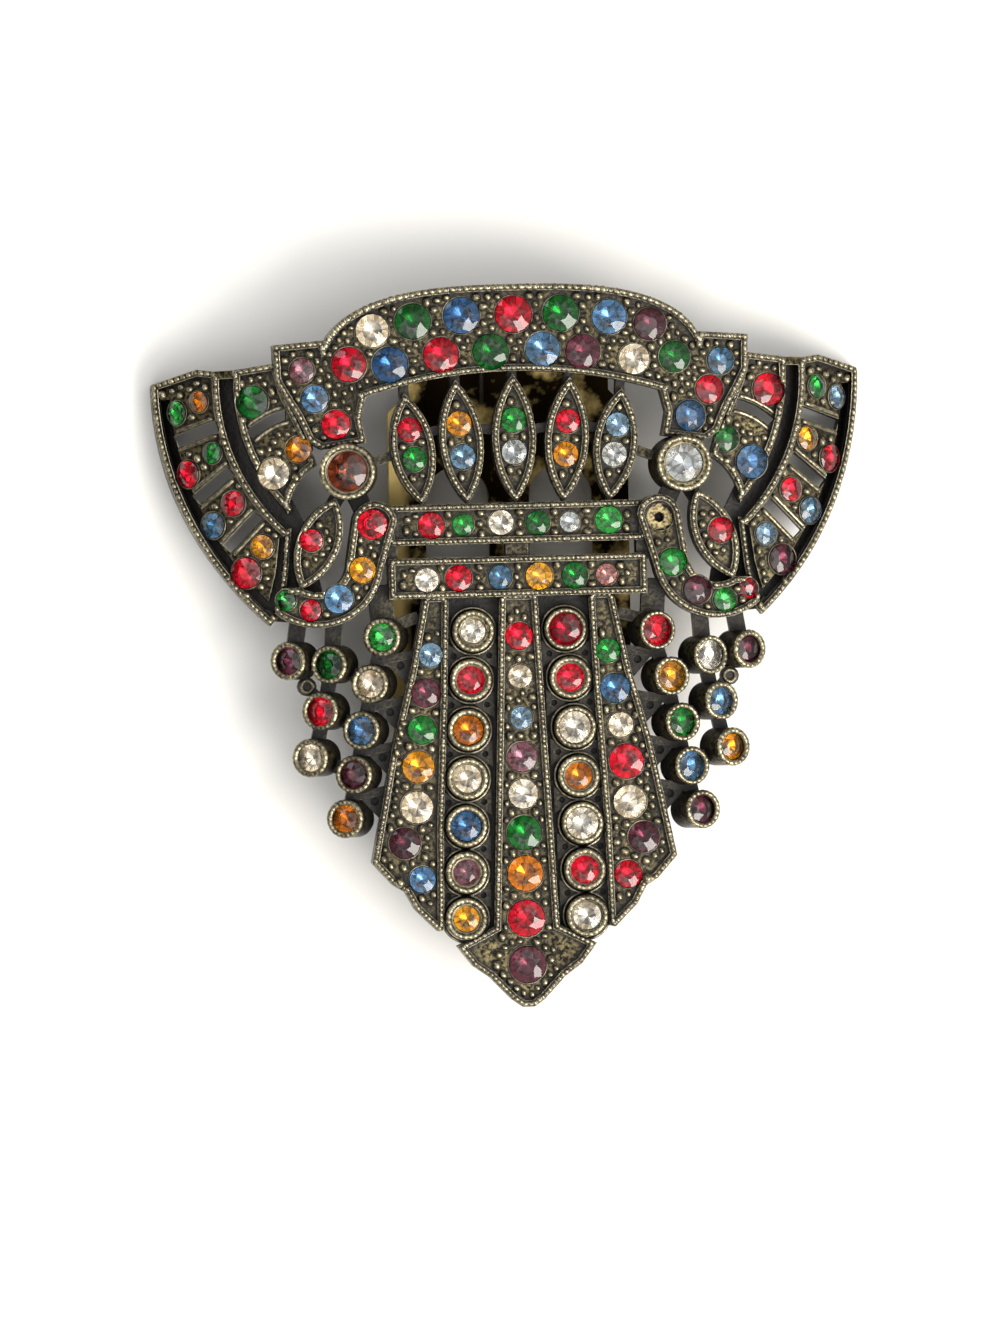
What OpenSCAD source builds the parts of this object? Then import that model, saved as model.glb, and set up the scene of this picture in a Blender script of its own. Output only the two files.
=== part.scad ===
// Domed dress clip of the 1930s: a pierced and antiqued pot metal casting with 133 round
// glass stones, and a brass fork lever on a spring hinge behind it.
// Millimetres. The clip lies on its back: +Z comes out of the face, +Y points to the arch,
// and the origin is under the middle of the box on the surface that the clip lies on.

/* [Dome] */
// Height of the flat middle of the face above the surface
face_z = 9.6; // [9.4:0.1:10.2]
// Half width of the flat middle
flat_half = 9; // [8:0.5:10]
// Distance from the middle where the gentle curve turns into the steep one
turn_x = 22; // [20:0.5:23]
// Radius of the gentle curve under the shoulders and bows
gentle_r = 40; // [36:1:50]
// Radius of the steep curve under the outer wings
steep_r = 16; // [15:0.5:18]
// Thickness of the cast plate
plate_t = 1.8; // [1.5:0.1:2]

/* [Casting] */
// Height of the raised edges over the fields
rim_h = 0.45; // [0.3:0.05:0.6]
// Width of the raised edges
rim_w = 0.55; // [0.4:0.05:0.65]
// Lift of the arch and the bars over the wings
band_lift = 0.4; // [0.2:0.05:0.6]
// Lift of the bows over the wings
bow_lift = 0.9; // [0.6:0.1:1.2]
// Depth of the dark channels below the fields
channel_h = 0.9; // [0.6:0.05:1]
// Width of the open slots in the wings
slot_w = 1; // [0.7:0.1:1.1]
// Width of a navette between the bars and the arch
navette_w = 3.7; // [3.4:0.1:3.8]

/* [Collets] */
// Outer diameter of the collets between the strips of the fan
collet_d = 3.5; // [3.2:0.1:3.6]
// Outer diameter of the collets in the side chains
chain_d = 3.2; // [3:0.1:3.4]
// Outer diameter of the two big collets
big_d = 4.7; // [4.4:0.1:5]
// Lean of the side chains outward, on top of the slope of the dome
chain_lean = 16; // [8:1:20]

/* [Stones] */
// Room round each stone in its seat
stone_gap = 0.08; // [0.06:0.01:0.1]
// Room under each stone in its seat
floor_gap = 0.14; // [0.1:0.02:0.2]
// Height of the crown above the girdle, as a share of the diameter
crown_share = 0.2; // [0.12:0.01:0.24]

/* [Clasp] */
// Distance of the hinge axis from the middle, towards the arch
hinge_y = 25; // [24.6:0.1:25.2]
// Thickness of the brass sheet
lever_t = 0.9; // [0.7:0.05:1]
// Half width of the fork
fork_half = 10.2; // [9.8:0.1:10.6]
// Slope of the fork from the belly up to the hinge, in degrees
fork_slope = 6.8; // [6.2:0.1:7.2]
// Radius of the belly that the fork turns on towards the plate
belly_r = 8; // [7.6:0.1:8.4]
// Place of the lowest point of the belly, measured towards the arch
belly_y = -3; // [-4:0.1:-2]
// Radius of the hinge pin
pin_r = 0.55; // [0.45:0.05:0.6]
// Room between the pin and its bores
pin_gap = 0.07; // [0.05:0.01:0.1]
// Outer radius of the knuckles round the pin
knuckle_r = 1.35; // [1.2:0.05:1.45]

/* [Hidden] */
// True circles for seats, collets and bores
fine = 48;
// More than the height of the whole clip
tall = 16;

// Dome: slope and height of the face at a distance from the middle
turn_sin = (turn_x - flat_half) / gentle_r;
turn_angle = asin(turn_sin);
// The curve ends here, just beyond the wings
edge_x = 31.5;
edge_angle = asin(turn_sin + (edge_x - turn_x) / steep_r);
function face_slope(x) =
    abs(x) <= flat_half ? 0
    : abs(x) <= turn_x ? asin((abs(x) - flat_half) / gentle_r)
    : asin(turn_sin + (abs(x) - turn_x) / steep_r);
function face_drop(x) =
    abs(x) <= turn_x ? gentle_r * (1 - cos(face_slope(x)))
    : gentle_r * (1 - cos(turn_angle)) + steep_r * (cos(turn_angle) - cos(face_slope(x)));
function face_height(x) = face_z - face_drop(x);
function side(x) = x < 0 ? -1 : 1;
// Stations of the curve, as angles: coarse on the gentle part, finer on the steep part
dome_angles = [for (i = [0:5]) turn_angle * i / 5,
               for (i = [1:9]) turn_angle + (edge_angle - turn_angle) * i / 9];
function station_x(a) =
    a <= turn_angle ? flat_half + gentle_r * sin(a)
    : turn_x + steep_r * (sin(a) - turn_sin);
// A point of the surface that lies h over the face, measured square to it
function dome_point(a, h) =
    [station_x(a) + h * sin(a), face_height(station_x(a)) + h * cos(a)];

// Stones. Rows of pairs are [x, y, left diameter, right diameter, left colour, right colour],
// and rows of single stones are [x, y, diameter, colour]. Colours: R ruby, G emerald green,
// B blue, A amethyst, T topaz, K brown topaz, C clear, and a dash for the lost stone.
arch_pairs = [
    [4.2, 27.9, 3.05, 3.0, "B", "G"],
    [8.3, 27.5, 3.0, 2.9, "G", "B"],
    [11.7, 26.8, 2.8, 2.7, "C", "A"],
    [13.7, 24.0, 2.9, 2.6, "R", "G"],
    [10.3, 23.9, 3.0, 2.6, "B", "C"],
    [6.0, 24.6, 3.0, 2.9, "R", "A"]];
arch_singles = [[0.2, 27.9, 3.1, "R"], [-1.8, 24.8, 3.0, "G"], [2.6, 24.9, 2.9, "B"]];
shoulder_pairs = [
    [17.6, 23.6, 2.1, 2.3, "A", "B"],
    [16.6, 21.2, 2.3, 2.4, "B", "R"],
    [14.9, 19.0, 2.4, 2.6, "R", "B"]];
big_pairs = [[14.0, 15.0, 3.4, 3.2, "K", "C"]];
navette_pairs = [
    [8.8, 18.4, 2.0, 2.0, "R", "B"],
    [8.45, 15.9, 2.0, 2.1, "G", "C"],
    [4.6, 18.8, 2.1, 2.0, "T", "R"],
    [4.35, 16.0, 2.1, 2.1, "B", "T"]];
navette_singles = [[0, 19.0, 2.1, "G"], [0, 16.3, 2.1, "C"]];
bar_singles = [
    [-7.2, 10.3, 2.2, "R"], [-4.5, 10.3, 1.8, "G"], [-1.3, 10.4, 2.1, "C"],
    [1.8, 10.3, 2.0, "G"], [4.5, 10.3, 1.7, "B"], [7.8, 10.4, 2.3, "G"],
    [-7.7, 5.7, 2.0, "C"], [-5.0, 5.8, 2.2, "R"], [-1.5, 5.8, 2.0, "B"],
    [1.8, 5.8, 2.3, "T"], [4.8, 5.8, 2.2, "G"], [7.5, 5.8, 1.8, "A"]];
wing_pairs = [
    [26.2, 21.3, 1.8, 1.9, "T", "G"],
    [28.0, 20.4, 2.0, 2.0, "G", "B"],
    [25.2, 16.9, 1.7, 2.0, "G", "T"],
    [27.2, 15.2, 2.3, 2.3, "R", "R"],
    [23.6, 12.6, 2.1, 2.0, "R", "R"],
    [25.3, 10.8, 2.2, 2.2, "B", "B"],
    [21.3, 8.9, 2.0, 1.9, "T", "B"],
    [22.7, 6.7, 2.6, 2.5, "R", "A"],
    [21.8, 21.1, 2.7, 2.8, "G", "R"],
    [18.1, 17.0, 2.2, 2.1, "T", "G"],
    [20.2, 15.0, 2.7, 2.8, "C", "B"]];
bow_pairs = [
    [17.1, 9.3, 1.9, 2.1, "R", "R"],
    [12.1, 10.5, 2.5, 2.1, "R", "-"],
    [13.0, 6.7, 2.2, 2.3, "T", "G"],
    [15.0, 4.3, 2.4, 2.4, "B", "A"],
    [17.3, 3.4, 1.8, 2.0, "R", "G"],
    [19.3, 4.3, 1.7, 1.7, "G", "R"]];
chain_pairs = [
    [11.3, 1.0, 2.3, 2.6, "G", "R"],
    [12.4, -2.9, 2.3, 2.5, "C", "T"],
    [13.2, -6.8, 2.4, 2.4, "B", "G"],
    [13.9, -10.5, 2.4, 2.4, "A", "B"],
    [14.7, -14.2, 2.3, 2.4, "T", "A"],
    [15.7, -1.2, 2.4, 2.5, "G", "C"],
    [16.5, -5.1, 2.4, 2.3, "R", "B"],
    [17.4, -9.0, 2.3, 2.2, "C", "T"],
    [19.0, -0.8, 2.3, 2.3, "R", "A"]];
column_pairs = [
    [3.9, 1.3, 2.1, 2.8, "C", "R"],
    [4.2, -2.8, 2.4, 2.4, "R", "R"],
    [4.5, -7.0, 2.5, 2.7, "T", "C"],
    [4.7, -11.1, 2.4, 2.3, "C", "T"],
    [4.9, -15.1, 2.5, 2.7, "B", "C"],
    [5.0, -19.0, 2.2, 2.4, "A", "R"],
    [5.1, -22.9, 2.2, 2.4, "T", "C"]];
strip_pairs = [
    [7.5, -0.6, 2.0, 2.0, "B", "G"],
    [8.0, -3.8, 2.4, 2.5, "A", "B"],
    [8.4, -6.9, 2.4, 2.1, "G", "C"],
    [8.8, -10.0, 2.7, 2.9, "T", "R"],
    [9.0, -13.4, 2.7, 2.8, "C", "C"],
    [10.1, -16.4, 2.6, 2.6, "A", "A"],
    [8.7, -19.5, 2.2, 2.3, "B", "R"]];
centre_singles = [
    [0, 0.8, 2.3, "R"], [0, -2.6, 2.0, "C"], [0, -6.1, 1.9, "B"],
    [0, -9.4, 2.5, "A"], [0, -12.5, 2.5, "C"], [0, -15.8, 2.9, "G"],
    [0, -19.2, 3.0, "T"], [0, -23.0, 3.1, "R"], [0, -26.9, 3.1, "A"]];

// Splits the rows of pairs into single stones, left ones first
function left_of(pairs) = [for (p = pairs) [-p[0], p[1], p[2], p[4]]];
function right_of(pairs) = [for (p = pairs) [p[0], p[1], p[3], p[5]]];
function both_of(pairs) = concat(left_of(pairs), right_of(pairs));

// Lifts of the fields that the stones are set in, over the face of the dome
wing_field = 0;
fan_field = 0;
navette_field = 0.1;
// Lifts of the rims of the collets
column_rim = 0.7;
chain_rim = 1.1;
big_rim = 1.9;
// Lifts of the plain webs, which lie below the face
chain_web_h = -0.5;
lug_h = -0.3;
// The collets of the side chains reach this far below the face
chain_foot = 1.7;
// Lifts of the girdles: a little over a field, and well below the rim of a collet
girdle_lift = 0.12;
girdle_drop = 0.35;
band_girdle = band_lift + girdle_lift;
bow_girdle = bow_lift + girdle_lift;
wing_girdle = wing_field + girdle_lift;
fan_girdle = fan_field + girdle_lift;
navette_girdle = navette_field + girdle_lift;
column_girdle = column_rim - girdle_drop;
chain_girdle = chain_rim - girdle_drop;
big_girdle = big_rim - girdle_drop;
// A seat is cut from its floor well past the rims
seat_cut = 4;
// The seat of the lost stone shows a small hole in its floor
bare_hole_r = 0.35;
// Shape of a cut stone: its sides, and shares of its diameter for the foiled back, the lower
// and upper edges of the girdle and the width of the table
stone_sides = 8;
back_share = 0.3;
girdle_low = 0.06;
girdle_high = 0.03;
table_share = 0.55;

// Clasp, worked out from the belly and the slope of the fork
belly_z = lever_t / 2 + belly_r;
bend_y = belly_y + belly_r * sin(fork_slope);
bend_z = belly_z - belly_r * cos(fork_slope);
sheet_z = bend_z + (hinge_y - bend_y) * tan(fork_slope);
knuckle_lift = knuckle_r - lever_t / 2;
hinge_z = sheet_z + knuckle_lift / cos(fork_slope);
// The fork turns through this angle on its belly before the points
point_angle = 60;
// Length of the points beyond the belly
point_l = 3.5;
// The flat tab behind the hinge that a thumb presses
tab_y = 28.4;
tab_half = 6;
// The neck between the ears, and the shoulders and windows of the fork below it
neck_half = 8.6;
neck_y = 21.5;
fork_low = 12;
window_r = 2.7;
window_x = 4.4;
window_top = 15.3;
// Inner and outer faces of the ears
ear_in = 8.9;
ear_out = 10.2;
// Half width and half depth of the gap in the knuckles for the coil of the spring
coil_half = 2.7;
coil_room = 1.7;
wire_d = 0.45;
coil_r = 0.95;
leg_l = 4.4;

// Basic shapes

module both() {
    for (s = [0, 1]) mirror([s, 0, 0]) children();
}

// Round outline as points, so that all edges of the plan are straight pieces
function arc(cx, cy, r, from, to, steps) =
    [for (i = [0:steps]) let (a = from + (to - from) * i / steps)
        [cx + r * cos(a), cy + r * sin(a)]];

// A straight web between two points of the plan
module web(a, b, w) {
    l = norm(b - a);
    translate(a)
        rotate(atan2(b[1] - a[1], b[0] - a[0]))
            translate([0, -w / 2]) square([l, w]);
}

// All that lies under the surface h over the face
module under_dome(h) {
    right = [for (a = dome_angles) dome_point(a, h)];
    left = [for (i = [len(right) - 1:-1:0]) [-right[i][0], right[i][1]]];
    edge = right[len(right) - 1];
    skirt = [[edge[0], -tall], [-edge[0], -tall]];
    rotate([90, 0, 0])
        linear_extrude(90, center = true)
            polygon(concat(right, skirt, left));
}

// A plan outline raised to h over the face, with a pocket inside its raised edge
module panel(h, rim = rim_h, edge = rim_w) {
    difference() {
        intersection() {
            linear_extrude(tall) children();
            under_dome(h + rim);
        }
        difference() {
            translate([0, 0, -1]) linear_extrude(tall + 2) offset(delta = -edge) children();
            under_dome(h);
        }
    }
}

// A plan outline raised to h over the face, with a plain top
module slab(h) {
    intersection() {
        linear_extrude(tall) children();
        under_dome(h);
    }
}

// Puts children on the face at a point of the plan, square to the dome
module on_face(x, y, lift, lean = 0) {
    translate([x, y, face_height(x)])
        rotate([0, side(x) * (face_slope(x) + lean), 0])
            translate([0, 0, lift]) children();
}

// Plan outlines, right half where a shape is mirrored

// The arch: its upper edge lies between an ellipse and a rectangle, its lower edge is an arc
arch_half = 16.6;
arch_rise = 8.45;
arch_foot = 22;
arch_power = 2.8;
arch_low_r = 42;
arch_low_y = 23.15;
arch_low_half = 15;
module arch_plan() {
    top = [for (i = [0:36]) let (a = 5 * i)
        [arch_half * side(cos(a)) * pow(abs(cos(a)), 2 / arch_power),
         arch_foot + arch_rise * pow(abs(sin(a)), 2 / arch_power)]];
    sweep = asin(arch_low_half / arch_low_r);
    bottom = arc(0, arch_low_y - arch_low_r, arch_low_r, 90 + sweep, 90 - sweep, 16);
    polygon(concat(top, bottom));
}

module shoulder_plan() {
    polygon([[12.4, 21.4], [12.9, 19.4], [12.5, 17.4], [16.2, 16.9], [17.3, 17.6],
             [18.2, 19.6], [19.3, 21.5], [20, 22.8], [20.1, 25.8], [15.9, 26.1],
             [15, 23]]);
}

// The outer edge of a wing is one arc, and the dark notch between the wings another
wing_c = [2, 23];
wing_r = 28.1;
notch_c = [7.4, 22.6];
notch_r = 16.6;
module inner_wing_plan() {
    polygon(concat(
        [[19.2, 21.9], [19.8, 24.3], [23.7, 23.8]],
        arc(notch_c[0], notch_c[1], notch_r - 0.6, 2, -42, 14),
        arc(14.4, 11.4, 4.75, 2, 62, 8),
        [[17.2, 17.5], [18.1, 19.6]]));
}

// A curved open slot between the two stones of an inner wing
slot_c = [17.6, 13.6];
slot_r = 6.1;
module inner_wing_slot() {
    polygon(concat(
        arc(slot_c[0], slot_c[1], slot_r, 76, 46, 8),
        arc(slot_c[0], slot_c[1], slot_r + 0.85 * slot_w, 46, 78, 8)));
}

module outer_wing_plan() {
    polygon(concat(
        [[24.5, 23.7], [26.4, 24], [30, 22.9]],
        arc(wing_c[0], wing_c[1], wing_r, -1, -48, 18),
        [[19.8, 3.4], [19.3, 6.6], [18.9, 10.4]],
        arc(notch_c[0], notch_c[1], notch_r + 0.6, -46, 2, 14)));
}

// The dark channel inside the outer edge of a wing, and the one along the bow
module outer_wing_channel() {
    polygon(concat(
        arc(wing_c[0], wing_c[1], wing_r - 0.75, -3, -45.5, 18),
        arc(wing_c[0], wing_c[1], wing_r - 1.5, -45.5, -3, 18)));
    polygon([[19.8, 5.4], [20.5, 3.2], [21.1, 3.6], [20.3, 6.6], [19.9, 9.6], [19.4, 9.8]]);
}

// Open slots between the four blocks of an outer wing
slot_lines = [
    [[24.7, 19.2], [28.1, 18]],
    [[23.7, 15.4], [26.6, 13]],
    [[21.5, 11.6], [24.2, 8.8]]];
module outer_wing_slots() {
    for (s = slot_lines) web(s[0], s[1], slot_w);
}

// Bright bridge between the tops of the two wings
module wing_bridge_plan() {
    web([23.2, 23.5], [25.2, 23.45], 0.7);
}

// Low dark bed that joins the two wings and the bow
module bed_plan() {
    polygon([[18.9, 13.2], [23.2, 23.2], [25, 23.2], [24.6, 20], [23, 15], [20.6, 11], [20.2, 6],
             [20.8, 2.6], [18.6, 2.4], [16.4, 5], [17, 8], [17.8, 11]]);
}

// Pointed oval between two tips, as the overlap of two circles
module pod_plan(a, b, w) {
    l = norm(b - a);
    r = (l * l / 4 + w * w / 4) / w;
    half = asin(l / 2 / r);
    translate((a + b) / 2)
        rotate(atan2(b[1] - a[1], b[0] - a[0]))
            polygon(concat(
                arc(0, w / 2 - r, r, 90 + half, 90 - half, 12),
                arc(0, r - w / 2, r, half - 90, -90 - half, 12)));
}

leaf_top = [15.2, 12.8];
leaf_foot = [18.3, 5.2];
leaf_w = 3.6;
module leaf_plan() {
    pod_plan(leaf_top, leaf_foot, leaf_w);
}

// The ribbon hangs from the big collet and turns up under the leaf
ribbon_c = [16.9, 7.4];
ribbon_in = 2.5;
ribbon_out = 5.5;
ribbon_top = [12, 10.6];
ribbon_r = 1.85;
module ribbon_plan() {
    polygon(concat(
        arc(ribbon_top[0], ribbon_top[1], ribbon_r, 175, 5, 12),
        arc(ribbon_c[0], ribbon_c[1], ribbon_in, 183, 305, 14),
        [[20.3, 5.3], [20.7, 4.2]],
        arc(ribbon_c[0], ribbon_c[1], ribbon_out, 311, 190, 18)));
}

bar_half = 10.9;
bar_tops = [12.05, 7.55];
bar_h = 3.4;
module bar_plan(top) {
    translate([-bar_half, top - bar_h]) square([2 * bar_half, bar_h]);
}

// Posts that join the two bars, in the middle and at both ends of the slot between them
post_w = 1.9;
end_post_w = 1.4;
post_h = 2.2;
slot_end = 10.1;
module post_plan() {
    foot = bar_tops[1] - 0.5;
    translate([-post_w / 2, foot]) square([post_w, post_h]);
    both() translate([slot_end, foot]) square([end_post_w, post_h]);
}

// Tips of the five navettes: [x at the arch, x at the bar]
navette_lines = [[0, 0], [4.85, 4.05], [9.2, 7.9]];
navette_top = 22.9;
navette_foot = 12;
module navette_plan(i) {
    line = navette_lines[i];
    top = [line[0], navette_top - 0.017 * line[0] * line[0]];
    foot = [line[1], navette_foot];
    pod_plan(foot, top, navette_w);
}

// Small lugs between neighbouring navettes and to the big collets
lug_w = 0.8;
module lug_plan() {
    both() {
        web([1.5, 18.2], [3.2, 18.4], lug_w);
        web([5.9, 18.4], [7.6, 18.1], lug_w);
        web([10, 16.4], [12.2, 15.6], lug_w);
        // From the tips of the navettes up to the arch, and from the big collet to the bow
        web([4.8, 22], [4.9, 23.4], lug_w);
        web([9.1, 21], [9.2, 22.8], lug_w);
        web([13.6, 13.6], [12.7, 11.6], 1.6);
        web([14.6, 13.4], [15.6, 11.8], 1.2);
    }
    web([0, 22], [0, 23.6], lug_w);
}

// Fan: top and foot edges of the strips
fan_top = 4.4;
centre_half = [1.6, 2.75];
centre_foot = -24.2;
module centre_strip_plan() {
    polygon([[-centre_half[0], fan_top], [centre_half[0], fan_top],
             [centre_half[1], centre_foot + 0.6], [5.9, -25.2], [4.6, -26.9], [3.2, -27.9],
             [1.4, -29.8], [0.5, -30.45], [-0.5, -30.45], [-1.4, -29.8], [-3.2, -27.9],
             [-4.6, -26.9], [-5.9, -25.2], [-centre_half[1], centre_foot + 0.6]]);
}

// The strip outside each column of collets, with its stepped foot
module side_strip_plan() {
    polygon([[5.9, fan_top], [8, fan_top], [9.3, -2], [10.9, -8], [12.1, -14], [12.9, -18],
             [11.2, -19.9], [10.2, -20.5], [9.4, -22], [7.5, -23.9], [7, -23.8],
             [6.8, -15], [6.2, -4]]);
}

// Low dark bed of a column of collets
module column_plan() {
    polygon([[1, fan_top], [6.4, fan_top], [7.3, -22.4], [6.6, -23.5], [5.5, -24.6],
             [2, -24.8]]);
}

// Small openings beside the collets of the fan
module column_openings() {
    for (i = [0:len(column_pairs) - 2]) {
        y = (column_pairs[i][1] + column_pairs[i + 1][1]) / 2;
        x = (column_pairs[i][0] + column_pairs[i + 1][0]) / 2;
        for (s = [-1, 1]) {
            polygon([[x + s * 1.85, y + 0.95], [x + s * 1.85, y - 0.95], [x + s * 0.75, y]]);
        }
    }
}

// Webs that carry the side chains, as pairs of rows in chain_pairs
chain_links = [[0, 1], [1, 2], [2, 3], [3, 4], [5, 6], [6, 7], [1, 5], [2, 6], [3, 7], [5, 8]];
function plan_point(row) = [row[0], row[1]];
module chain_plan() {
    for (link = chain_links) {
        web(plan_point(chain_pairs[link[0]]), plan_point(chain_pairs[link[1]]), 1.2);
    }
    // Brackets to the side strip and up to the bow
    for (i = [0:3]) {
        y = (chain_pairs[i][1] + chain_pairs[i + 1][1]) / 2;
        web([chain_pairs[i][0] - 2.6, y + 0.5], [chain_pairs[i][0] + 0.2, y], 0.7);
    }
    web([11.3, 1], [11.6, 5.4], 2);
    web([15.7, -1.2], [15.4, 3.4], 1.4);
    web([19, -0.8], [18.3, 3.4], 1.4);
    web([8.4, 2.6], [11.3, 1.8], 1);
    translate([17.9, -3]) circle(0.8, $fn = 12);
    web([17.9, -3], [16.6, -4.4], 0.9);
}

// One stone: eight sides, a table, a crown, a girdle and a shallow foiled back
module stone(d) {
    r = d / 2;
    rotate_extrude($fn = stone_sides)
        polygon([[0, -back_share * d], [r, -girdle_low * d], [r, girdle_high * d],
                 [table_share * r, crown_share * d], [0, crown_share * d]]);
}

gem_colours = [["R", "crimson"], ["G", "seagreen"], ["B", "steelblue"], ["A", "plum"],
               ["T", "orange"], ["K", "saddlebrown"], ["C", "lavender"]];
function gem_colour(code) = gem_colours[search([code], gem_colours)[0]][1];

// A row of stones, with the girdle at the given lift over the face
module stones(rows, lift, lean = 0) {
    for (row = rows) {
        if (row[3] != "-") {
            color(gem_colour(row[3])) on_face(row[0], row[1], lift, lean) stone(row[2]);
        }
    }
}

// Seats for a row of stones with their girdles at the given lift, each deep enough for its stone
module seats(rows, girdle, lean = 0) {
    for (row = rows) {
        floor_lift = girdle - back_share * row[2] - floor_gap;
        on_face(row[0], row[1], floor_lift, lean)
            cylinder(r = row[2] / 2 + stone_gap, h = seat_cut, $fn = fine);
        if (row[3] == "-") {
            on_face(row[0], row[1], -tall / 2, lean) cylinder(r = bare_hole_r, h = tall, $fn = fine);
        }
    }
}

// Walls of the collets round a row of stones
module collets(rows, d, foot, rim, lean = 0) {
    for (row = rows) {
        on_face(row[0], row[1], -foot, lean) cylinder(r = d / 2, h = foot + rim, $fn = fine);
    }
}

// All parts of the plate, each with its own raised edge
module fields() {
    panel(band_lift) union() {
        arch_plan();
        both() shoulder_plan();
    }
    for (top = bar_tops) panel(band_lift) bar_plan(top);
    slab(band_lift) post_plan();
    panel(navette_field) navette_plan(0);
    both() {
        panel(navette_field) navette_plan(1);
        panel(navette_field) navette_plan(2);
        panel(wing_field) inner_wing_plan();
        panel(wing_field) outer_wing_plan();
        slab(-channel_h) bed_plan();
        slab(rim_h) wing_bridge_plan();
        panel(bow_lift) leaf_plan();
        panel(bow_lift) ribbon_plan();
        panel(fan_field) side_strip_plan();
        slab(-channel_h) column_plan();
        slab(chain_web_h) chain_plan();
    }
    slab(lug_h) lug_plan();
    panel(fan_field) centre_strip_plan();
}

// Openings cut through the plate, and the dark channels cut into it
module gaps() {
    both() translate([0, 0, -1]) linear_extrude(tall + 2) {
        inner_wing_slot();
        outer_wing_slots();
        column_openings();
    }
    both() difference() {
        translate([0, 0, -1]) linear_extrude(tall + 2) outer_wing_channel();
        under_dome(-channel_h);
    }
}

// Ears behind the arch that hold the hinge pin
module ears() {
    both() translate([ear_in, 0, 0]) rotate([90, 0, 90])
        linear_extrude(ear_out - ear_in)
            polygon(concat(
                arc(hinge_y, hinge_z, knuckle_r + 0.15, 180, 340, 14),
                [[hinge_y + 3.2, face_z - plate_t + 0.4], [hinge_y + 0.2, face_z - plate_t + 0.4]]));
}

module casting() {
    color("dimgray") difference() {
        union() {
            difference() {
                union() {
                    fields();
                    collets(both_of(big_pairs), big_d, plate_t, big_rim);
                    both() collets(column_pairs, collet_d, plate_t, column_rim);
                }
                gaps();
                under_dome(-plate_t);
            }
            collets(both_of(chain_pairs), chain_d, chain_foot, chain_rim, chain_lean);
            ears();
        }
        seats(concat(both_of(arch_pairs), arch_singles), band_girdle);
        seats(both_of(shoulder_pairs), band_girdle);
        seats(both_of(big_pairs), big_girdle);
        seats(concat(both_of(navette_pairs), navette_singles), navette_girdle);
        seats(bar_singles, band_girdle);
        seats(both_of(wing_pairs), wing_girdle);
        seats(both_of(bow_pairs), bow_girdle);
        seats(both_of(chain_pairs), chain_girdle, chain_lean);
        seats(both_of(column_pairs), column_girdle);
        seats(both_of(strip_pairs), fan_girdle);
        seats(centre_singles, fan_girdle);
        // Hinge bore through both ears
        translate([0, hinge_y, hinge_z]) rotate([0, 90, 0])
            cylinder(r = pin_r + pin_gap, h = 2 * ear_out + 2, center = true, $fn = fine);
        // The wings are ground flat where the clip rests
        translate([-40, -40, -tall]) cube([80, 80, tall]);
    }
}

// Clasp

// Side view of the sheet: a straight fork, a belly, and points that turn to the plate
module sheet_profile() {
    outer_r = belly_r + lever_t / 2;
    inner_r = belly_r - lever_t / 2;
    tab = [cos(fork_slope), sin(fork_slope)];
    up = [-tab[1], tab[0]];
    far = [bend_y, bend_z] + tab * (tab_y - bend_y) / tab[0];
    point_dir = [-cos(point_angle), sin(point_angle)];
    turn_end = [belly_y - belly_r * sin(point_angle), belly_z - belly_r * cos(point_angle)];
    tip = turn_end + point_dir * point_l;
    polygon(concat(
        [far + up * lever_t / 2],
        arc(belly_y, belly_z, inner_r, fork_slope - 90, -90 - point_angle, 16),
        [tip],
        arc(belly_y, belly_z, outer_r, -90 - point_angle, fork_slope - 90, 16),
        [far - up * lever_t / 2]));
}

// Plan of the sheet: neck, broad fork with two windows, three pointed tines
tine_foot = -9.2;
tine_tip = belly_y - belly_r * sin(point_angle) - point_l * cos(point_angle);
tine_lines = [[-fork_half, -7.1], [-1.7, 1.7], [7.1, fork_half]];
module fork_plan() {
    broad_y = neck_y - fork_half + neck_half;
    polygon([[-tab_half, tab_y + 1], [tab_half, tab_y + 1], [neck_half, hinge_y],
             [neck_half, neck_y], [fork_half, broad_y], [fork_half, fork_low],
             [-fork_half, fork_low], [-fork_half, broad_y], [-neck_half, neck_y],
             [-neck_half, hinge_y]]);
    for (t = tine_lines) {
        middle = (t[0] + t[1]) / 2;
        polygon([[t[0], fork_low + 2], [t[1], fork_low + 2], [t[1], tine_foot],
                 [middle + 0.15, tine_tip], [middle - 0.15, tine_tip], [t[0], tine_foot]]);
    }
}

module lever() {
    color("goldenrod") difference() {
        union() {
            intersection() {
                linear_extrude(tall) fork_plan();
                rotate([90, 0, 90]) linear_extrude(2 * fork_half + 2, center = true)
                    sheet_profile();
            }
            translate([0, hinge_y, hinge_z]) rotate([0, 90, 0])
                cylinder(r = knuckle_r, h = 2 * neck_half, center = true, $fn = fine);
        }
        // Round tops of the two windows
        for (s = [-1, 1]) {
            translate([s * window_x, window_top - window_r, -1])
                cylinder(r = window_r, h = 6, $fn = fine);
        }
        // Gap for the coil of the spring
        translate([-coil_half, hinge_y - coil_room, 0])
            cube([2 * coil_half, 2 * coil_room, tall]);
        translate([0, hinge_y, hinge_z]) rotate([0, 90, 0])
            cylinder(r = pin_r + pin_gap, h = 3 * neck_half, center = true, $fn = fine);
    }
}

module hinge_pin() {
    color("darkgoldenrod") translate([0, hinge_y, hinge_z]) rotate([0, 90, 0])
        cylinder(r = pin_r, h = 2 * ear_out + 0.6, center = true, $fn = fine);
}

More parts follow.
